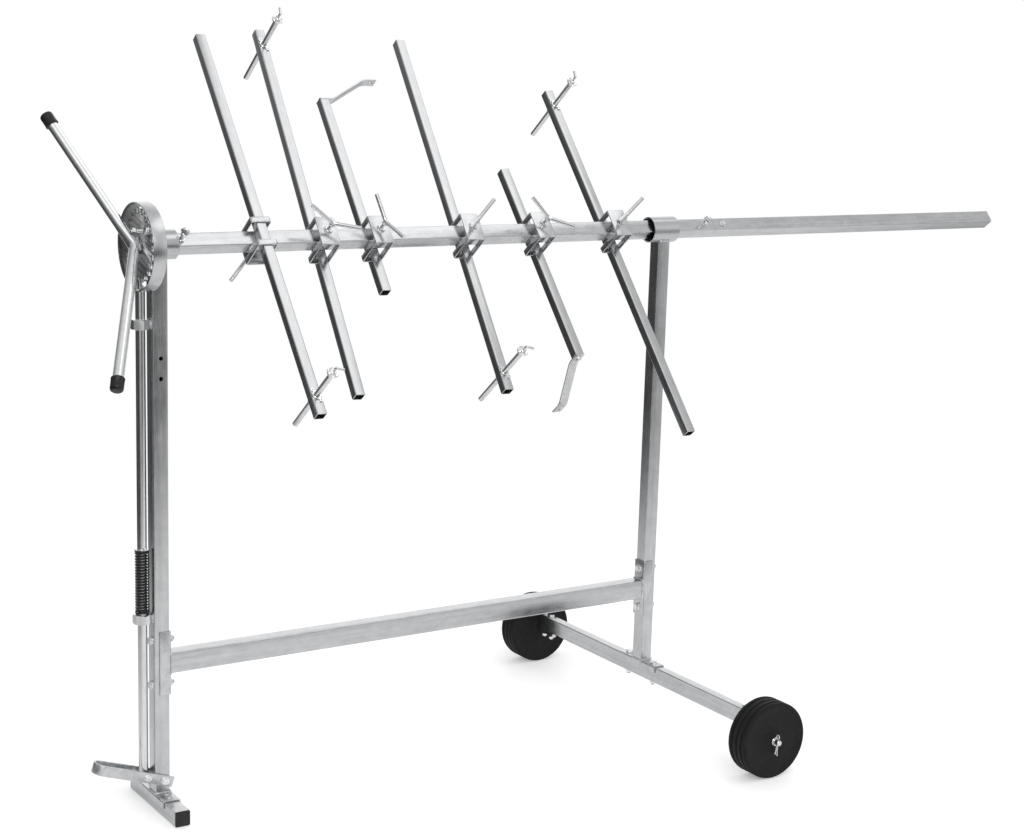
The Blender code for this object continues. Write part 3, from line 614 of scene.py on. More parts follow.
def square_tube(node, matrix, body, finish, corner=TUBE_CORNER, wall=WALL):
    """Replaces a CAD tube that runs along matrix's Z by one with rounded corners and eased ends."""
    low, high = spans(node, matrix)
    middle = (low + high) / 2
    size = high - low
    mesh = tube_mesh(node, size.x, size.y, low.z, high.z, wall, corner)
    place = matrix @ moved(middle.x, middle.y, 0)
    return piece(f"{node}_tube", mesh, place, body, finish, (node,))


def main_tubes():
    shaft_z = SHAFT_AXIS.z
    sleeve_gap = 0.0003
    for side in ("left", "right"):
        low, high = spans(f"{side}_post")
        centre_x = (low.x + high.x) / 2
        post = square_tube(f"{side}_post", moved(centre_x, 0, 0), "frame", ZINC)
        sleeve_low, sleeve_high = spans(f"{side}_bearing_sleeve")
        radius = (sleeve_high.z - sleeve_low.z) / 2 + sleeve_gap
        cutters = [drill(radius, 0.1, (0, 0, shaft_z), EX, 72)]
        if side == "left":
            for height in (0.873, 0.835):
                cutters.append(drill(HOLE_RADIUS, 0.012, (0.001, low.y, height), EY))
            cutters.append(drill(0.0022, 0.0012, (0.006, low.y, 0.936), EY))
        carve(post, cutters)
    square_tube("stretcher_tube", WORLD_ALONG_X, "frame", ZINC, 0.003)
    square_tube("foot_bar", WORLD_ALONG_Y, "frame", ZINC)
    square_tube("axle_beam", WORLD_ALONG_Y, "frame", ZINC)
    square_tube("shaft_tube", ALONG_SHAFT, "shaft", ZINC)
    square_tube("extension_tube", ALONG_SHAFT, "extension", ZINC)
    square_tube("extension_spigot", ALONG_SHAFT, "extension", ZINC, wall=0.002)


def arm_tubes():
    for number in range(1, ARM_COUNT + 1):
        local = arm_frame(number)
        along = local @ axes(EZ, EX, EY, Vector())
        tube = square_tube(f"arm_{number}", along, f"arm_{number}", ARM_ZINC, 0.0022)
        if f"hook_pin_{number}" in NODES:
            low, high = spans(f"hook_pin_{number}", local)
            middle = (low.y + high.y) / 2
            carve(tube, [drill(0.0059, 0.05, (0, 0, middle), EX)])


# ---------------------------------------------------------------- bearings and the index lock

def bearings():
    for side in ("left", "right"):
        node = f"{side}_bearing_sleeve"
        low, high = spans(node, WORLD_ALONG_X)
        outer = (high.x - low.x) / 2
        inner = outer - 0.0027
        ease = 0.0009
        profile = (
            (inner + ease, high.z), (outer - ease, high.z), (outer, high.z - ease),
            (outer, low.z + ease), (outer - ease, low.z), (inner + ease, low.z), (inner, low.z + ease),
            (inner, high.z - ease)
        )
        place = WORLD_ALONG_X.copy()
        place.translation = (0, 0, SHAFT_AXIS.z)
        mesh = turned_mesh(node, profile, 96, closed=True)
        piece(f"{node}_ring", mesh, place, "frame", SLEEVE_STEEL, (node,))
        post_low, post_high = spans(f"{side}_post")
        centre = (post_low.x + post_high.x) / 2
        half = (post_high.x - post_low.x) / 2
        for face, sign in SIDES:
            depth = half + 0.0004
            drop = math.sqrt(max(outer**2 - half**2, 0))
            route = [(centre - half + 0.002, sign * depth, SHAFT_AXIS.z - drop - 0.0005)]
            route.append((centre + half - 0.002, sign * depth, SHAFT_AXIS.z - drop - 0.0005))
            weld(f"{side}_sleeve_weld_{face}", route, seed=sign)


def index_disc():
    low, high = spans("index_disc")
    thickness = high.x - low.x
    notches = 24
    outer = (high.z - low.z) / 2
    notch = 0.0048
    centre = outer - 0.0054
    pitch = math.tau / notches
    outline = []
    for k in range(notches):
        middle = k * pitch
        out = Vector((math.cos(middle), math.sin(middle)))
        side = Vector((-out.y, out.x))
        for step in range(9):
            beta = math.pi * (step / 8 - 0.5)
            spot = out * (centre - notch * math.cos(beta)) + side * notch * math.sin(beta)
            outline.append(tuple(spot))
        for offset in (-2.6, -1.2, 0.0, 1.2, 2.6):
            angle = (k + 0.5) * pitch + math.radians(offset)
            radius = outer - 0.0012 * (abs(offset) / 2.6) ** 2
            outline.append((radius * math.cos(angle), radius * math.sin(angle)))
    mesh = flat_mesh("index_disc", outline, thickness, 0.0006)
    place = axes(EZ * -1, EY, EX, ((low.x + high.x) / 2, 0, SHAFT_AXIS.z))
    piece("index_disc_plate", mesh, place, "shaft", DISC_STEEL, ("index_disc",))


def index_guard():
    """The oval hoop round the disc, open at the bottom for the lock rod and welded to the post."""
    low, high = spans("index_guard")
    thickness = 0.003
    centre_z = SHAFT_AXIS.z - HOOP_DROP
    wide = high.y - thickness / 2
    tall = high.z - centre_z - thickness / 2
    gap = math.asin(HOOP_GAP / wide)
    steps = 96
    route = []
    for k in range(steps + 1):
        angle = -math.pi / 2 + gap + (math.tau - 2 * gap) * k / steps
        route.append((wide * math.cos(angle), tall * math.sin(angle), 0))
    section = rounded_rectangle(thickness, high.x - low.x, 0.0006, 3)
    mesh = swept_mesh("index_guard", route, section, up=EZ, angle=30)
    place = axes(EY, EZ, EX, ((low.x + high.x) / 2, 0, centre_z))
    piece("index_guard_hoop", mesh, place, "frame", HOOP_STEEL, ("index_guard",))
    post_face = spans("left_post")[0].x
    for label, sign in SIDES:
        y = sign * 0.0145
        drop = tall * math.sqrt(1 - (y / wide) ** 2)
        for end, z in (("lower", centre_z - drop + 0.001), ("upper", centre_z + drop - 0.003)):
            if end == "upper" and z > spans("left_post")[1].z:
                continue
            route = [(post_face - 0.0002, y - sign * 0.0005, z), (post_face - 0.0002, y - sign * 0.0095, z)]
            weld(f"guard_weld_{label}_{end}", route, seed=sign * 1.4)


def rod_and_guides():
    low, high = spans("lock_rod")
    centre_x = (low.x + high.x) / 2
    radius = (high.x - low.x) / 2
    shoulder = high.z - 0.0187
    pin = 0.004
    wall = 0.0015
    profile = (
        (0, high.z), (pin - 0.001, high.z), (pin, high.z - 0.001), (pin, shoulder + 0.0012),
        (pin + 0.0012, shoulder), (radius - 0.0015, shoulder), (radius, shoulder - 0.0015),
        (radius, low.z + EDGE), (radius - EDGE, low.z), (radius - wall, low.z),
        (radius - wall, shoulder - 0.01), (0, shoulder - 0.01)
    )
    rod = piece(
        "lock_rod_tube", turned_mesh("lock_rod", profile, 56), moved(centre_x, 0, 0),
        "rod", BRIGHT, ("lock_rod",)
    )
    bolt = (spans("pedal_rod_bolt")[0] + spans("pedal_rod_bolt")[1]) / 2
    slot = bpy.data.meshes.new("slot")
    shape = bmesh.new()
    bmesh.ops.create_cube(shape, size=1.0)
    bmesh.ops.scale(shape, vec=(0.0092, 0.05, 0.0068), verts=shape.verts)
    bmesh.ops.translate(shape, vec=(0, 0, bolt.z), verts=shape.verts)
    shape.to_mesh(slot)
    shape.free()
    carve(rod, [slot])
    for side in ("upper", "lower"):
        node = f"{side}_rod_guide"
        low, high = spans(node)
        height = high.z - low.z
        flats = high.x - low.x
        mesh = hexagon_mesh(node, flats, height, bore=radius + 0.0004, both=True, per_side=8)
        place = moved(centre_x, 0, low.z) @ spun(math.pi / 6)
        piece(f"{node}_nut", mesh, place, "frame", FASTENER, (node,))
        post_face = spans("left_post")[0].x
        for label, sign in SIDES:
            route = [
                (post_face - 0.0004, sign * 0.0092, low.z + 0.001),
                (post_face - 0.0004, sign * 0.0092, high.z - 0.001)
            ]
            weld(f"{side}_guide_weld_{label}", route, seed=sign * 2)


def spring():
    """The return spring: closed ends, open coils between, on the rod above its lower guide."""
    low, high = spans("return_spring")
    wire = 0.0015
    radius = (high.x - low.x) / 2 - wire
    turns = 23
    per_turn = 28
    bottom = low.z + wire
    top = high.z - wire
    steps = turns * per_turn
    centre_x = (low.x + high.x) / 2
    points = []
    for k in range(steps + 1):
        share = k / steps
        turn = share * turns
        closed = 1.2
        pitch = 2 * wire * 1.02
        open_pitch = (top - bottom - 2 * closed * pitch) / (turns - 2 * closed)
        if turn < closed:
            z = bottom + pitch * turn
        elif turn > turns - closed:
            z = top - pitch * (turns - turn)
        else:
            z = bottom + pitch * closed + open_pitch * (turn - closed)
        angle = math.tau * turn
        points.append((radius * math.cos(angle), radius * math.sin(angle), z))
    mesh = swept_mesh("return_spring", points, round_section(wire, 12))
    place = moved(centre_x, 0, 0)
    coil = piece("return_spring_coil", mesh, place, "frame", SPRING_BLACK, ("return_spring",))
    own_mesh(coil)
    washer = washer_mesh("spring_washer", 0.0148, 0.0093)
    piece("spring_washer", washer, moved(centre_x, 0, high.z), "rod", FASTENER)
    pin = bar_mesh("spring_cross_pin", [(0, -0.0165, 0), (0, 0.0165, 0)], ROD_PIN_RADIUS)
    height = high.z + 0.0014 + ROD_PIN_RADIUS
    piece("spring_cross_pin", pin, moved(centre_x, 0, height), "rod", FASTENER)


# ---------------------------------------------------------------- handle

def handle():
    """A tube bent to a wide V, pressed flat where it is welded to the disc's hub, and the disc's bolts."""
    local = Matrix.Translation(SHAFT_AXIS - EZ * HANDLE_DROP) @ Matrix.Rotation(HANDLE_TURN, 4, "X")
    low, high = spans("handle_bar", local)
    radius = (high.z - low.z) / 2
    seat = high.x
    apex_point = Vector((seat - 0.007, 0, 0))
    cap_low, cap_high = spans("handle_cap_upper", local)
    flare = HANDLE_FLARE
    reach = (high.y - radius * math.sin(flare) * 0.5) / math.cos(flare)
    tips = [
        apex_point + Vector((-math.sin(flare), side * math.cos(flare), 0)) * reach for side in (-1, 1)
    ]
    route = [tips[0], apex_point, tips[1]]
    route[1:1] = [apex_point.lerp(tips[0], share) for share in (0.16, 0.12, 0.08)]
    route[-1:-1] = [apex_point.lerp(tips[1], share) for share in (0.08, 0.12, 0.16)]
    mesh = bar_mesh("handle_bar", route, radius, bend=0.008, sides=48)
    for spot in mesh.vertices:
        near = max(0.0, 1 - abs(spot.co.y) / 0.052)
        spot.co.x = min(spot.co.x, seat)
        spot.co.z *= 1 + 0.34 * near
    mesh.update()
    piece("handle_bar_tube", mesh, local, "shaft", HANDLE_ZINC, ("handle_bar",))
    for name, side in (("handle_cap_upper", 1), ("handle_cap_lower", -1)):
        direction = Vector((-math.sin(flare), side * math.cos(flare), 0))
        cap_spots = [(spot - apex_point).dot(direction) for spot in vertices(name, local)]
        outer = (cap_high.z - cap_low.z) / 2
        length = max(cap_spots) - min(cap_spots)
        profile = [(0, 0)]
        profile += [
            (outer - 0.0055 * (1 - math.sin(a)), -0.0055 * (1 - math.cos(a)))
            for a in (math.pi / 2 * k / 6 for k in range(7))
        ]
        profile += [
            (outer, -length + 0.0036), (outer + 0.0004, -length + 0.0030),
            (outer + 0.0004, -length + 0.0008), (outer - 0.0002, -length), (radius + 0.0003, -length),
            (radius + 0.0003, -length + 0.004), (0, -length + 0.004)
        ]
        turn = direction.to_track_quat("Z", "X").to_matrix().to_4x4()
        place = local @ Matrix.Translation(apex_point + direction * max(cap_spots)) @ turn
        cap = turned_mesh(name, profile, 56)
        piece(f"{name}_sleeve", cap, place, "shaft", BLACK, (name,))
    disc_face = spans("index_disc")[0].x
    hub = turned_mesh(
        "handle_hub",
        (
            (0, -0.0002), (0.0125, -0.0002), (0.0130, 0.0008), (0.0130, 0.0050), (0.0118, 0.0062),
            (0, 0.0062)
        ),
        48
    )
    back = SHAFT @ axes(EZ * -1, EY, EX, Vector((disc_face, 0, 0)))
    piece("handle_hub", hub, back @ Matrix.Rotation(math.pi, 4, "Y"), "shaft", SLEEVE_STEEL)
    for label, sign in (("front", 1), ("rear", -1)):
        route = [(disc_face - 0.0035, y / 1000, sign * 0.0125) for y in range(-15, 16, 3)]
        weld(f"handle_weld_{label}", route, 0.0034, sign, place=local, body="shaft")
    lump = [(disc_face - 0.0030, y / 1000, 0.006 * math.sin(y / 3)) for y in range(-12, 13, 2)]
    raised = moved(0, 0, 0.002) @ SHAFT
    weld("handle_weld_lump", lump, 0.0044, 2.2, place=raised, body="shaft")
    for name, sign, reach in (("front", 1, 0.0300), ("rear", -1, 0.0085)):
        along_x = SHAFT @ axes(EY, EZ, EX, Vector((0, 0, sign * 0.047)))
        shank = threaded_mesh(f"disc_bolt_{name}", 0.0032, disc_face - reach, disc_face + 0.011)
        piece(f"disc_bolt_{name}", shank, along_x, "shaft", FASTENER)
        for label, start in (("outer", disc_face - 0.0285), ("disc", disc_face - 0.0068)):
            if label == "outer" and sign < 0:
                continue
            nut = hexagon_mesh(f"disc_nut_{name}_{label}", 0.013, 0.0068, bore=0.0032, both=True)
            place = along_x @ moved(0, 0, start) @ spun(0.25 * sign)
            piece(nut.name, nut, place, "shaft", FASTENER)


def washer_mesh(name, outer, bore, thickness=0.0014, foot=0.0003, sides=48):
    """A washer along Z from 0, its rim eased by 0.3 mm above and by foot below."""
    profile = (
        (outer - 0.0003, thickness), (outer, thickness - 0.0003), (outer, foot), (outer - foot, 0),
        (bore, 0), (bore, thickness)
    )
    return turned_mesh(name, profile, sides, closed=True)


def threaded_mesh(name, radius, start, end, pitch=0.001):
    """A threaded bar along Z: rolled ridges with eased ends."""
    profile = [(0, end), (radius - 0.0008, end), (radius - 0.0002, end - 0.0006)]
    count = int((end - start - 0.0012) / pitch)
    for k in range(count):
        z = end - 0.0006 - k * pitch
        profile.append((radius, z - pitch * 0.25))
        profile.append((radius - 0.00042, z - pitch * 0.75))
    profile += [(radius - 0.0002, start + 0.0004), (radius - 0.0008, start), (0, start)]
    return turned_mesh(name, profile, 24, angle=60)


def washer_under(washer, radius):
    """The washer below a head or a nut, if it has one, and the height that it lifts them by."""
    if not washer:
        return [], 0.0
    return [(washer_mesh("washer", washer, radius + 0.0002, 0.0012, 0.0002, 40), HERE)], 0.0012


def bolt(name, place, body, size, washer):
    """A hex bolt's head on a washer, standing on place's XY plane."""
    flats, head, radius = size
    meshes, lift = washer_under(washer, radius)
    meshes.append((hexagon_mesh("head", flats, head), moved(0, 0, lift)))
    return piece(name, joined(name, meshes), place, body, FASTENER)


def nut_on(name, place, body, size, washer=0.0):
    """A nut on place's XY plane with the bolt's end, stub long, standing out of it."""
    flats, height, radius, stub = size
    meshes, lift = washer_under(washer, radius)
    nut = hexagon_mesh("nut", flats, height, bore=radius, both=True)
    meshes.append((nut, moved(0, 0, lift)))
    meshes.append((threaded_mesh("stub", radius - 0.0001, 0.0, lift + height + stub), HERE))
    return piece(name, joined(name, meshes), place, body, FASTENER)


def facing(point, direction, turn=0.0):
    """A place at point whose Z points along direction."""
    made = Vector(direction).to_track_quat("Z", "Y").to_matrix().to_4x4()
    made = made @ spun(turn)
    made.translation = Vector(point)
    return made


# ---------------------------------------------------------------- foot, pedal and lower frame

def bent_plate(name, route, width, thickness, up, bend, ease=0.0006):
    """A plate bent along route, width along up."""
    section = rounded_rectangle(thickness, width, ease, 3)
    return swept_mesh(name, rod_route(route, bend, 7), section, up=up, angle=30)


def foot():
    low, high = spans("foot_saddle")
    half = (high.x - low.x) / 2 - PLATE / 2
    top = high.z - PLATE / 2
    middle_y = (low.y + high.y) / 2
    route = [(x, middle_y, z) for x, z in ((-half, low.z), (-half, top), (half, top), (half, low.z))]
    mesh = bent_plate("foot_saddle", route, high.y - low.y, PLATE, EY, 0.0028)
    piece("foot_saddle_plate", mesh, HERE, "frame", SHEET, ("foot_saddle",))
    for side, sign in SIDES:
        place = facing((0.002, sign * 0.040, high.z), EZ, 0.3 + sign * 0.4)
        bolt(f"foot_bolt_{side}", place, "frame", M8_HEAD, 0.0088)
        node = f"foot_plug_{side}"
        low_plug, high_plug = spans(node)
        width = high_plug.x - low_plug.x
        bar_low, bar_high = spans("foot_bar")
        face = bar_high.y if sign > 0 else -bar_low.y
        depth = (high_plug.y if sign > 0 else -low_plug.y) - face
        loops = []
        rings = (
            (0.0017, -0.012), (0.0017, 0.0002), (0.0006, 0.0002), (0.0001, 0.0008),
            (0.0001, depth - 0.0012), (0.0006, depth - 0.0003), (0.0016, depth), (0.0040, depth),
            (0.0048, depth - 0.0008), (0.0085, depth - 0.0010)
        )
        for inset, z in rings:
            section = rounded_rectangle(width, width, 0.003, 6, inset)
            loops.append([(x, y, z) for x, y in section])
        plug = loops_mesh(loops, node, caps=True)
        place = axes(EX, EZ, EX.cross(EZ), Vector((0, -face, (low_plug.z + high_plug.z) / 2)))
        if sign > 0:
            place = spun(math.pi) @ place
        piece(f"{node}_cap", plug, place, "frame", BLACK, (node,))
    post_low, post_high = spans("left_post")
    base_weld("left_post_weld", post_low, post_high, high.z)


def base_weld(name, low, high, z):
    """A bead round a post's foot."""
    inset = 0.0008
    points = [
        (low.x - inset, low.y - inset, z), (high.x + inset, low.y - inset, z),
        (high.x + inset, high.y + inset, z), (low.x - inset, high.y + inset, z)
    ]
    weld(name, points, 0.0018, 1.7, closed=True)


def pedal():
    """The foot pedal: one strap bent to a long loop on edge, with its pivot and rod bolts."""
    pivot = Vector(JOINTS["pedal_pivot"]["pos_m"])
    rod_low, rod_high = spans("pedal_rod_bolt")
    rod_place = (rod_low + rod_high) / 2
    along = (rod_place - pivot).normalized()
    local = axes(along, EY, along.cross(EY), pivot)
    low, high = spans("foot_pedal", local)
    thickness = 0.004
    half = (high.y - low.y) / 2 - thickness / 2
    bend = high.x - half - thickness / 2
    route = [(low.x, -half, 0), (bend * 0.5, -half, 0)]
    for step in range(33):
        angle = math.pi * (step / 32 - 0.5)
        route.append((bend + half * math.cos(angle), half * math.sin(angle), 0))
    route += [(bend * 0.5, half, 0), (low.x, half, 0)]
    section = rounded_rectangle(thickness, high.z - low.z, 0.0007, 3)
    mesh = swept_mesh("foot_pedal", route, section, up=EZ, angle=30)
    piece("foot_pedal_strap", mesh, local, "pedal", SHEET, ("foot_pedal",))
    for node, x, radius, flats in (
        ("pedal_pivot_bolt", 0.0, 0.004, 0.013),
        ("pedal_rod_bolt", (rod_place - pivot).length, 0.003, 0.0115)
    ):
        body = "frame" if node == "pedal_pivot_bolt" else "pedal"
        face = high.y + 0.0001
        centre = local @ Vector((x, 0, 0))
        meshes = []
        head = hexagon_mesh("head", flats, 0.0052, per_side=8)
        meshes.append((head, moved(0, 0, face + 0.0011)))
        washer = (
            (flats * 0.60, 0.0011), (flats * 0.62, 0.0008), (flats * 0.62, 0.0002), (flats * 0.60, 0),
            (radius, 0), (radius, 0.0011)
        )
        meshes.append((turned_mesh("washer", washer, 40, closed=True), moved(0, 0, face)))
        meshes.append((threaded_mesh("shank", radius - 0.0001, -face - 0.0068, face), HERE))
        nut = hexagon_mesh("nut", flats, 0.0052, bore=radius, both=True, per_side=8)
        meshes.append((nut, moved(0, 0, -face - 0.0053)))
        place = facing(centre, EY * -1, 0.35)
        piece(f"{node}_set", joined(node, meshes), place, body, FASTENER, (node,))


def axle_end():
    low, high = spans("axle_saddle")
    centre = (low.x + high.x) / 2
    half = (high.x - low.x) / 2 - PLATE / 2
    top = high.z - PLATE / 2
    route = [
        (centre - half, 0, low.z), (centre - half, 0, top), (centre + half, 0, top),
        (centre + half, 0, low.z)
    ]
    mesh = bent_plate("axle_saddle", route, high.y - low.y, PLATE, EY, 0.0028)
    piece("axle_saddle_plate", mesh, HERE, "frame", SHEET, ("axle_saddle",))
    post_low, post_high = spans("right_post")
    base_weld("right_post_weld", post_low, post_high, high.z)
    beam_low, beam_high = spans("axle_beam")
    for side, sign in SIDES:
        place = facing((centre, sign * 0.045, high.z), EZ, 0.4 * sign)
        bolt(f"axle_saddle_bolt_{side}", place, "frame", M8_HEAD, 0.0086)
        place = facing((centre, sign * 0.045, beam_low.z), EZ * -1)
        nut_on(f"axle_saddle_nut_{side}", place, "frame", M8_NUT)
        stub_low = spans(f"axle_stub_{side}")[0]
        for label, y in (("inner", 0.359), ("outer", 0.387)):
            place = facing((centre, sign * y, beam_high.z), EZ, 0.2)
            bolt(f"axle_bolt_{side}_{label}", place, "frame", M6_HEAD, 0.0062)
            place = facing((centre, sign * y, stub_low.z), EZ * -1)
            nut_on(f"axle_nut_{side}_{label}", place, "frame", M6_NUT)
    for side, sign in SIDES:
        wheel(side, sign)


def wheel(side, sign):
    node = f"wheel_{side}"
    low, high = spans(node)
    centre = (low + high) / 2
    radius = (high.z - low.z) / 2
    half = (high.y - low.y) / 2
    groove = 0.0032
    bore = 0.0063
    profile = [
        (bore, half - 0.0006), (bore + 0.0006, half), (0.0185, half), (0.0205, half - 0.0006),
        (0.0225, half - 0.0028), (0.050, half - 0.0034), (0.0695, half - 0.0026),
        (0.0725, half - 0.0010), (0.0755, half - 0.0012), (0.0780, half - 0.0024),
        (0.0795, half - 0.0044), (radius, half - 0.0065)
    ]
    for middle in (0.0145, 0.0, -0.0145):
        profile += [
            (radius, middle + 0.0034), (radius - 0.0006, middle + 0.0026),
            (radius - groove, middle + 0.0015), (radius - groove, middle - 0.0015),
            (radius - 0.0006, middle - 0.0026), (radius, middle - 0.0034)
        ]
    profile += [(r, -z) for r, z in reversed(profile[:12])]
    mesh = turned_mesh(node, profile, 144, closed=True)
    outward = EY * sign
    place = facing(centre, outward)
    piece(f"{node}_tyre", mesh, place, node, WHEEL_BLACK, (node,))
    stub = f"axle_stub_{side}"
    stub_low, stub_high = spans(stub)
    axle = (stub_high.z - stub_low.z) / 2
    length = (stub_high.y - stub_low.y) / 2
    ease = 0.0014
    bar = turned_mesh(
        stub,
        (
            (0, length), (axle - ease, length), (axle, length - ease), (axle, -length + ease),
            (axle - ease, -length), (0, -length)
        ),
        48
    )
    stub_centre = (stub_low + stub_high) / 2
    rod = piece(f"{stub}_bar", bar, facing(stub_centre, outward), "frame", BRIGHT, (stub,))
    pin_z = length - 0.0078
    carve(rod, [drill(0.0017, 0.03, (0, 0, pin_z), EX, 24)])
    washer = washer_mesh("axle_washer", 0.0089, axle + 0.0003)
    face = facing(centre + outward * (half + 0.0003), outward)
    piece(f"axle_washer_{side}", washer, face, "frame", FASTENER)
    pin_place = facing(stub_centre + outward * pin_z, outward, 1.5 if sign < 0 else 0.3)
    split_pin(f"split_pin_{side}", pin_place, axle)


def split_pin(name, place, axle):
    """A split pin across the axle: a round eye on one side, two bent legs on the other."""
    wire = 0.0012
    eye = 0.0042
    meshes = []
    for sign in (-1, 1):
        route = []
        for step in range(9):
            angle = math.pi * (0.5 - step / 8) * 0.98
            route.append((axle + 0.001 + eye + eye * math.sin(angle), 0, sign * eye * math.cos(angle)))
        route.append((axle + 0.0006, 0, sign * wire))
        route.append((-axle - 0.0006, 0, sign * wire))
        route.append((-axle - 0.012, sign * 0.0008, sign * 0.0026))
        route.append((-axle - 0.021, sign * 0.0012, sign * 0.0048))
        mesh = bar_mesh("leg", route, wire, 0.0015, 10, 0.0003)
        meshes.append((mesh, HERE))
    piece(name, joined(name, meshes), place, "frame", FASTENER)


def stretcher():
    """The brackets that wrap the posts at the stretcher's ends, and their bolts."""
    for side, sign in (("left", 1), ("right", -1)):
        node = f"{side}_stretcher_bracket"
        low, high = spans(node)
        inner = low.x if sign > 0 else high.x
        face = (high.x if sign > 0 else low.x) - sign * PLATE / 2
        half = (high.y - low.y) / 2 - PLATE / 2
        middle = (low.z + high.z) / 2
        route = [(inner, -half, middle), (face, -half, middle), (face, half, middle), (inner, half, middle)]
        mesh = bent_plate(node, route, high.z - low.z, PLATE, EZ, 0.004, 0.0008)
        piece(f"{node}_plate", mesh, HERE, "frame", SHEET, (node,))
        post_low, post_high = spans(f"{side}_post")
        for label, z in (("upper", 0.3336), ("lower", 0.2464)):
            head_x = post_low.x if sign > 0 else low.x
            place = facing((head_x, 0, z), EX * -1, 0.2)
            bolt(f"{side}_bracket_bolt_{label}", place, "frame", LOW_M8_HEAD, 0.0085)
            far = high.x if sign > 0 else post_high.x
            place = facing((far, 0, z), EX)
            nut_on(f"{side}_bracket_nut_{label}", place, "frame", M8_NUT, 0.0085)
        tube_low, tube_high = spans("stretcher_tube")
        x = face + sign * PLATE / 2
        corners = [
            (x, tube_low.y + 0.002, tube_low.z - 0.0004), (x, tube_high.y - 0.002, tube_low.z - 0.0004),
            (x, tube_high.y + 0.0004, tube_low.z + 0.003),
            (x, tube_high.y + 0.0004, tube_high.z - 0.003),
            (x, tube_high.y - 0.002, tube_high.z + 0.0004),
            (x, tube_low.y + 0.002, tube_high.z + 0.0004),
            (x, tube_low.y - 0.0004, tube_high.z - 0.003), (x, tube_low.y - 0.0004, tube_low.z + 0.003)
        ]
        weld(f"{side}_stretcher_weld", corners, 0.0020, sign * 3, closed=True)


# ---------------------------------------------------------------- screws with round grips

def thumb_screws():
    for node, body in (("shaft_stop_screw", "shaft"), ("extension_lock_screw", "lock_screw")):
        low, high = spans(node, SHAFT)
        x = (low.x + high.x) / 2
        radius = 0.004
        grip = (high.y - low.y) / 2
        centre = high.z - grip
        place = SHAFT @ moved(x, 0, 0)
        meshes = [(threaded_mesh("shank", radius - 0.0001, low.z, centre - grip * 0.5), HERE)]
        profile = (
            (0, 0.0018), (grip - 0.0022, 0.0018), (grip - 0.0012, 0.0026), (grip - 0.0004, 0.0024),
            (grip, 0.0014), (grip, -0.0014), (grip - 0.0004, -0.0024), (grip - 0.0012, -0.0026),
            (grip - 0.0022, -0.0018), (0, -0.0018)
        )
        disc = turned_mesh("grip", profile, 48)
        turned = spun(math.radians(48)) @ axes(EY, EZ, EX, Vector((0, 0, 0)))
        meshes.append((disc, moved(0, 0, centre) @ turned))
        neck = turned_mesh(
            "neck",
            ((0.0046, -0.004), (0.0056, -0.0055), (0.0056, -0.0105), (0.0048, -0.0112), (0, -0.0112)),
            32
        )
        meshes.append((neck, moved(0, 0, centre)))
        mesh = joined(node, meshes)
        piece(f"{node}_grip", mesh, place, body, FASTENER, (node,))
        tube = (spans("shaft_tube", SHAFT)[1]).z
        nut = hexagon_mesh(f"{node}_nut", 0.013, 0.0055, bore=radius, both=True)
        piece(nut.name, nut, place @ moved(0, 0, tube), "shaft", FASTENER)
    tube = (spans("shaft_tube", SHAFT)[1]).z
    extension = spans("extension_tube", SHAFT)[0].x
    place = SHAFT @ moved(extension + 0.025, 0, tube)
    bolt("extension_bolt", place, "extension", M6_HEAD, 0.0065)
    far = SHAFT @ axes(EX, EY * -1, EZ * -1, Vector((extension + 0.025, 0, -tube)))
    nut_on("extension_bolt_nut", far, "extension", M6_NUT)


# ---------------------------------------------------------------- clamps, levers and arms

def clamp(number):
    """Two strap rings joined by a plate: one sheet, bent square round the shaft and the arm."""
    local = clamp_frame(number)
    node = f"clamp_{number}"
    low, high = spans(node, local)
    width = high.x - low.x
    half_length = (high.y - low.y) / 2
    window = 0.019
    sheet = CLAMP_SHEET
    band = half_length - window
    meshes = []
    for sign in (-1, 1):
        half_w = width / 2 - sheet / 2
        top = high.z - sheet / 2
        base = low.z + sheet / 2
        y = sign * (window + band / 2)
        corner = 0.0032
        route = []
        for quarter, (sx, sz) in enumerate(((1, 1), (-1, 1), (-1, -1), (1, -1))):
            for step in range(7):
                angle = math.pi / 2 * (quarter + step / 6)
                x = sx * (half_w - corner) + corner * math.cos(angle)
                z = (top + base) / 2 + sz * ((top - base) / 2 - corner) + corner * math.sin(angle)
                route.append(Vector((x, y, z)))
        meshes.append((ring_band(route, sheet, band), HERE))
    outline = rounded_rectangle(width - 0.0012, 2 * half_length, 0.0025, 4)
    plate = flat_mesh("plate", outline, sheet, 0.0006)
    plate.transform(moved(0, 0, high.z - sheet / 2 + 0.00002))
    meshes.append((plate, HERE))
    mesh = joined(node, meshes)
    piece(f"{node}_straps", mesh, local, node, SHEET, (node,))
    boss = hexagon_mesh(f"clamp_{number}_nut", 0.013, 0.0062, bore=0.004, both=True, per_side=8)
    place = local @ moved(0, 0, high.z) @ spun(0.4 * number)
    piece(f"clamp_{number}_nut", boss, place, node, FASTENER)
    spots = [(x, y, high.z) for x, y in round_section(0.0078, 30)]
    weld(f"clamp_{number}_weld", spots, 0.0013, number, True, local, node)


def ring_band(route, thickness, width):
    """A closed band round route, which lies in an XZ plane, width along Y."""
    section = rounded_rectangle(thickness, width, 0.0006, 2)
    loops = []
    count = len(route)
    for k, point in enumerate(route):
        before = (point - route[k - 1]).normalized()
        after = (route[(k + 1) % count] - point).normalized()
        heading = (before + after).normalized()
        across = EY.cross(heading).normalized()
        stretch = 1 / max(before.dot(heading), 0.5)
        loops.append([point + across * (a * stretch) + EY * b for a, b in section])
    return loops_mesh(loops, "band", closed=True, angle=30)


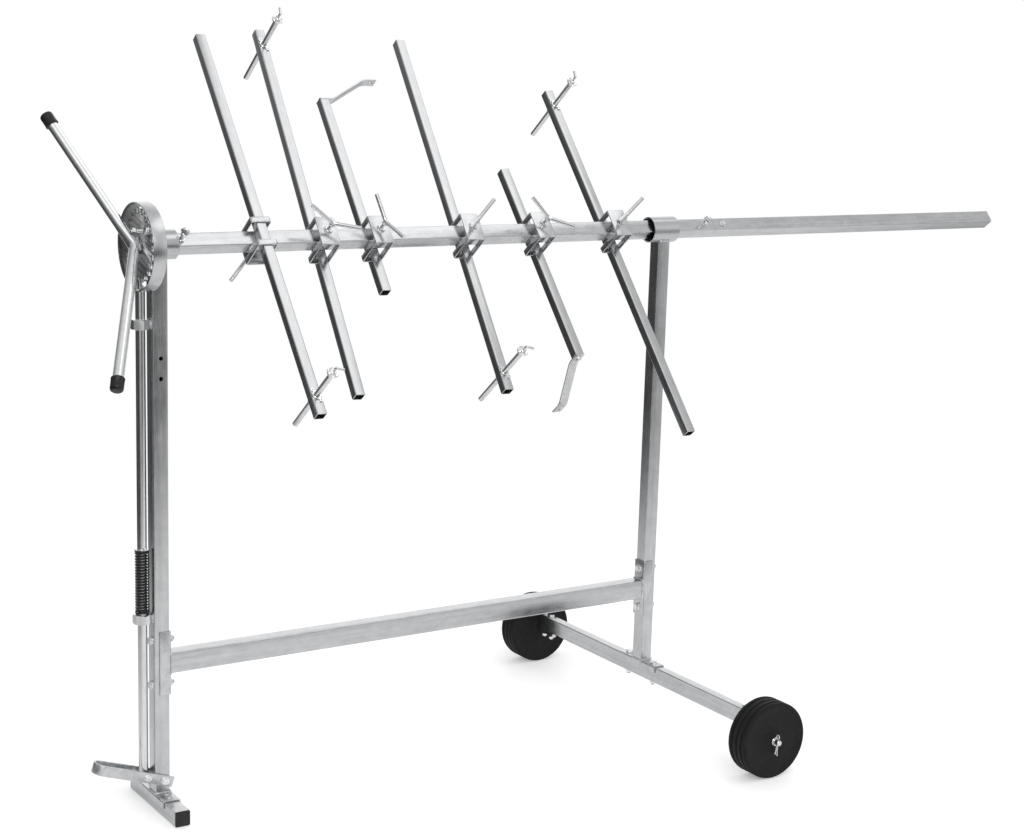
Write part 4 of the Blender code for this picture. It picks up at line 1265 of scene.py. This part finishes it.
def lever(number):
    """The clamp's screw with a V of round bar welded across its head."""
    local = clamp_frame(number)
    node = f"lever_{number}"
    spots = vertices(node, local)
    far = max(spots, key=lambda s: s.x**2 + s.y**2)
    direction = Vector((far.x, far.y, 0)).normalized()
    radius = 0.004
    low = spans(node, local)[0]
    apex = Vector((0, 0, 0.056))
    length = 0.056
    rise = math.radians(23)
    tips = []
    for sign in (1, -1):
        tips.append(apex + (direction * sign * math.cos(rise) + EZ * math.sin(rise)) * length)
    meshes = [(bar_mesh("v", [tips[0], apex, tips[1]], radius, 0.009, 24, 0.0007), HERE)]
    meshes.append((threaded_mesh("screw", radius - 0.0001, low.z, apex.z - 0.002, 0.00125), HERE))
    mesh = joined(node, meshes)
    piece(f"{node}_bar", mesh, local, node, BRIGHT, (node,))
    collar = [(x, y, apex.z - 0.0042) for x, y in round_section(0.0046, 16)]
    weld(f"{node}_weld", collar, 0.0013, number * 1.3, True, local, node, BRIGHT_WELD)


def hook_pin(number):
    """A round bar through the arm, with a wing nut and a bent hook on its front end."""
    node = f"hook_pin_{number}"
    arm = arm_frame(number)
    spots = vertices(node, arm)
    tail = min(s.z for s in spots)
    ends = [s for s in spots if s.z < tail + 0.01]
    centre = sum(ends, Vector()) / len(ends)
    local = arm @ moved(centre.x, centre.y, 0)
    top = tail + 0.196
    head = top - 0.014
    radius = 0.0055
    ease = 0.0009
    rod = turned_mesh(
        f"{node}_rod",
        (
            (0, head + 0.004), (radius - 0.0014, head + 0.004), (radius - 0.0004, head + 0.0026),
            (radius - 0.0004, head), (radius, head - 0.0006), (radius, tail + ease),
            (radius - ease, tail), (0, tail)
        ),
        40
    )
    tip = max(spots, key=lambda s: (s - centre).cross(EZ).length)
    toward = Vector((tip.x - centre.x, tip.y - centre.y, 0)).normalized()
    reach = max((s - centre).dot(toward) for s in spots)
    wire = 0.0026
    height = max(s.z for s in spots) - wire
    hook_route = [(0, 0, head), (0, 0, height), tuple(toward * reach + EZ * height)]
    hook_bar = bar_mesh("hook", hook_route, wire, 0.004, 18, 0.0006)
    mesh = joined(node, [(rod, HERE), (hook_bar, HERE)])
    piece(f"{node}_bar", mesh, local, node, BRIGHT, (node,))
    hub = turned_mesh(
        "hub",
        (
            (0.0050, 0.0125), (0.0060, 0.0118), (0.0070, 0.0020), (0.0066, 0.0), (0.0027, 0.0),
            (0.0027, 0.0125)
        ),
        36, closed=True
    )
    meshes = [(hub, moved(0, 0, head))]
    for turn in (0.0, math.pi):
        shift = moved(0, 0, head + 0.0045) @ spun(turn)
        meshes.append((lobe_mesh(0.0118), shift))
    nut = joined(f"{node}_wing_nut", meshes)
    swing = local @ spun(math.radians(-38))
    piece(f"{node}_wing_nut", nut, swing, node, FASTENER)
    arm_low, arm_high = spans(f"arm_{number}", arm)
    collar = turned_mesh(
        "collar", ((0.0084, 0.0034), (0.0092, 0.0026), (0.0094, 0.0), (0.0062, 0.0), (0.0062, 0.0034)),
        40, closed=True
    )
    meshes = [(collar, HERE)]
    for turn in (0.0, math.pi):
        meshes.append((eye_mesh(), spun(turn + math.radians(-62))))
    face = arm @ moved(centre.x, centre.y, arm_high.z)
    nut = joined(f"hook_collar_{number}", meshes)
    piece(f"hook_collar_{number}", nut, face, f"arm_{number}", FASTENER)
    back = arm @ axes(EX, EY * -1, EZ * -1, Vector((centre.x, centre.y, arm_low.z)))
    ring = turned_mesh(
        f"hook_ring_{number}",
        ((0.0080, 0.0022), (0.0086, 0.0016), (0.0088, 0.0), (0.0062, 0.0), (0.0062, 0.0022)), 40,
        closed=True
    )
    piece(ring.name, ring, back, f"arm_{number}", FASTENER)


def eye_mesh():
    """A small round lug beside a collar."""
    lug = turned_mesh(
        "lug", ((0.0034, 0.0030), (0.0040, 0.0024), (0.0041, 0.0), (0.0016, 0.0), (0.0016, 0.0030)), 24,
        closed=True
    )
    lug.transform(moved(0.0122, 0, 0))
    return lug


def lobe_mesh(reach):
    """One round wing of a nut: most of a half disc, lifted a little towards its rim."""
    outline = []
    for step in range(19):
        angle = math.radians(-80 + 160 * step / 18)
        outline.append((reach * math.cos(angle), reach * math.sin(angle) * 0.92))
    slit = 0.002
    outline = [(slit, -reach * 0.62)] + outline + [(slit, reach * 0.62)]
    mesh = flat_mesh("lobe", outline, 0.003, 0.0009)
    mesh.transform(Matrix.Rotation(math.radians(-14), 4, "Y"))
    return mesh


def hook_strap(number):
    """A flat bar across the arm's end, stepped outward, with a screw in its foot and a hole in its tip."""
    node = f"hook_strap_{number}"
    arm = arm_frame(number)
    low, high = spans(node, arm)
    arm_low, arm_high = spans(f"arm_{number}", arm)
    upward = (high.y + low.y) / 2 > (arm_high.y + arm_low.y) / 2
    centre_z = (arm_low.z + arm_high.z) / 2
    centre_x = (arm_low.x + arm_high.x) / 2
    if upward:
        local = arm @ axes(EX, EY, EZ, Vector((centre_x, low.y, centre_z)))
    else:
        local = arm @ axes(EZ * -1, EY * -1, EX * -1, Vector((centre_x, high.y, centre_z)))
    low, high = spans(node, local)
    half = PLATE / 2
    top = high.y - half
    run_start = low.x + 0.030
    run_end = run_start + 0.085
    route = [(low.x, half, 0), (run_start, half, 0), (run_end, top, 0), (high.x, top, 0)]
    mesh = bent_plate(node, route, high.z - low.z, PLATE, EZ, 0.010, 0.0007)
    strap = piece(f"{node}_bar", mesh, local, node, SHEET, (node,))
    carve(strap, [drill(0.0032, 0.02, (high.x - 0.010, top, 0), EY)])
    head = facing((0, 0, 0), EY)
    head.translation = Vector((0, PLATE, 0))
    bolt(f"{node}_screw", local @ head, node, M6_HEAD, 0.0064)


# ---------------------------------------------------------------- the stage

def light(name, place, target, size, power):
    lamp = bpy.data.lights.new(name, "AREA")
    lamp.shape = "RECTANGLE"
    lamp.size, lamp.size_y = size
    lamp.energy = power
    holder = add_object(name, lamp)
    holder.location = place
    aim = Vector(target) - Vector(place)
    holder.rotation_euler = aim.to_track_quat("-Z", "Y").to_euler()


def sky():
    """A pale studio: soft white all round, with a darker end of the room behind the handle."""
    world = bpy.data.worlds.new("studio")
    bpy.context.scene.world = world
    world.use_nodes = True
    tree = world.node_tree
    tree.nodes.clear()
    coords = add_node(tree, "ShaderNodeTexCoord").outputs["Generated"]

    def lobe(direction, outer, inner, power):
        """Light that falls from power inside one angle to nothing outside another."""
        closeness = dotted(tree, coords, Vector(direction).normalized())
        edges = math.cos(math.radians(outer)), math.cos(math.radians(inner))
        return ramp(tree, closeness, *edges, 0.0, power)

    split = add_node(tree, "ShaderNodeSeparateXYZ", {"Vector": coords})
    strength = ramp(tree, split.outputs["Z"], -0.08, 0.12, 0.12, 0.52)
    for direction, outer, inner, power in (
        ((0.10, -0.35, 0.93), 66, 25, 0.30), ((-0.50, -0.80, 0.32), 42, 12, 0.75),
        ((0.50, 0.86, 0.12), 52, 26, 0.66), ((0.80, -0.58, 0.05), 36, 10, 0.50)
    ):
        strength = summed(tree, strength, lobe(direction, outer, inner, power))
    for direction, outer, inner, depth in (
        ((-0.62, 0.78, -0.02), 44, 16, 0.52), ((-0.90, -0.42, -0.12), 42, 16, 0.60)
    ):
        shade = summed(tree, 1.0, lobe(direction, outer, inner, depth), "SUBTRACT")
        strength = summed(tree, strength, shade, "MULTIPLY")
    room = add_node(tree, "ShaderNodeBackground", {"Color": (1, 1, 1), "Strength": strength})
    seen = add_node(tree, "ShaderNodeBackground", {"Color": (1, 1, 1), "Strength": 1.0})
    direct = add_node(tree, "ShaderNodeLightPath").outputs["Is Camera Ray"]
    shaders = {"Fac": direct, 1: room.outputs["Background"], 2: seen.outputs["Background"]}
    both = add_node(tree, "ShaderNodeMixShader", shaders)
    add_node(tree, "ShaderNodeOutputWorld", {"Surface": both.outputs["Shader"]})


def floor():
    size = 3.4
    shape = bmesh.new()
    bmesh.ops.create_circle(shape, cap_ends=True, segments=128, radius=size)
    mesh = bpy.data.meshes.new("floor")
    shape.to_mesh(mesh)
    shape.free()
    stage = add_object("floor", mesh)
    stage.location = (1.2, -0.3, -0.0005)
    made, tree, shader, coords = new_material("pale_floor")
    direct = add_node(tree, "ShaderNodeLightPath").outputs["Is Camera Ray"]
    length = add_node(tree, "ShaderNodeVectorMath", {0: coords}, operation="LENGTH").outputs["Value"]
    feed(tree, shader, {
        "Base Color": (0.92, 0.92, 0.92), "Roughness": 0.6, "Emission Color": (1, 1, 1),
        "Emission Strength": ramp(tree, direct, 0, 1, 0.14, 0.32),
        "Alpha": ramp(tree, length, size * 0.40, size * 0.95, 1.0, 0.0)
    })
    mesh.materials.append(made)


def camera():
    lens = bpy.data.cameras.new("camera")
    lens.lens = CAMERA_LENS
    lens.sensor_width = SENSOR_WIDTH
    lens.clip_end = 60
    turn = spun(CAMERA_YAW)
    turn = turn @ Matrix.Rotation(math.pi / 2 + CAMERA_PITCH, 4, "X")
    turn = turn @ spun(CAMERA_ROLL)
    turn.translation = Vector(CAMERA_PLACE)
    bpy.context.scene.camera = add_object("camera", lens, turn)


main_tubes()
arm_tubes()
bearings()
index_disc()
index_guard()
rod_and_guides()
spring()
handle()
foot()
pedal()
axle_end()
stretcher()
thumb_screws()
for arm_number in range(1, ARM_COUNT + 1):
    clamp(arm_number)
    lever(arm_number)
    if f"hook_pin_{arm_number}" in NODES:
        hook_pin(arm_number)
    else:
        hook_strap(arm_number)

for name in ("left_bush", "right_bush"):
    mesh = NODES[name].data
    mesh.materials.clear()
    mesh.materials.append(BLACK[1])

camera()
sky()
floor()
light("key", (-1.2, -3.8, 3.0), (0.7, 0, 0.9), (2.2, 1.0), 32)
light("top", (1.9, -0.6, 3.8), (1.1, 0, 0.8), (3.2, 1.4), 11)
bpy.context.scene.view_settings.view_transform = "Standard"
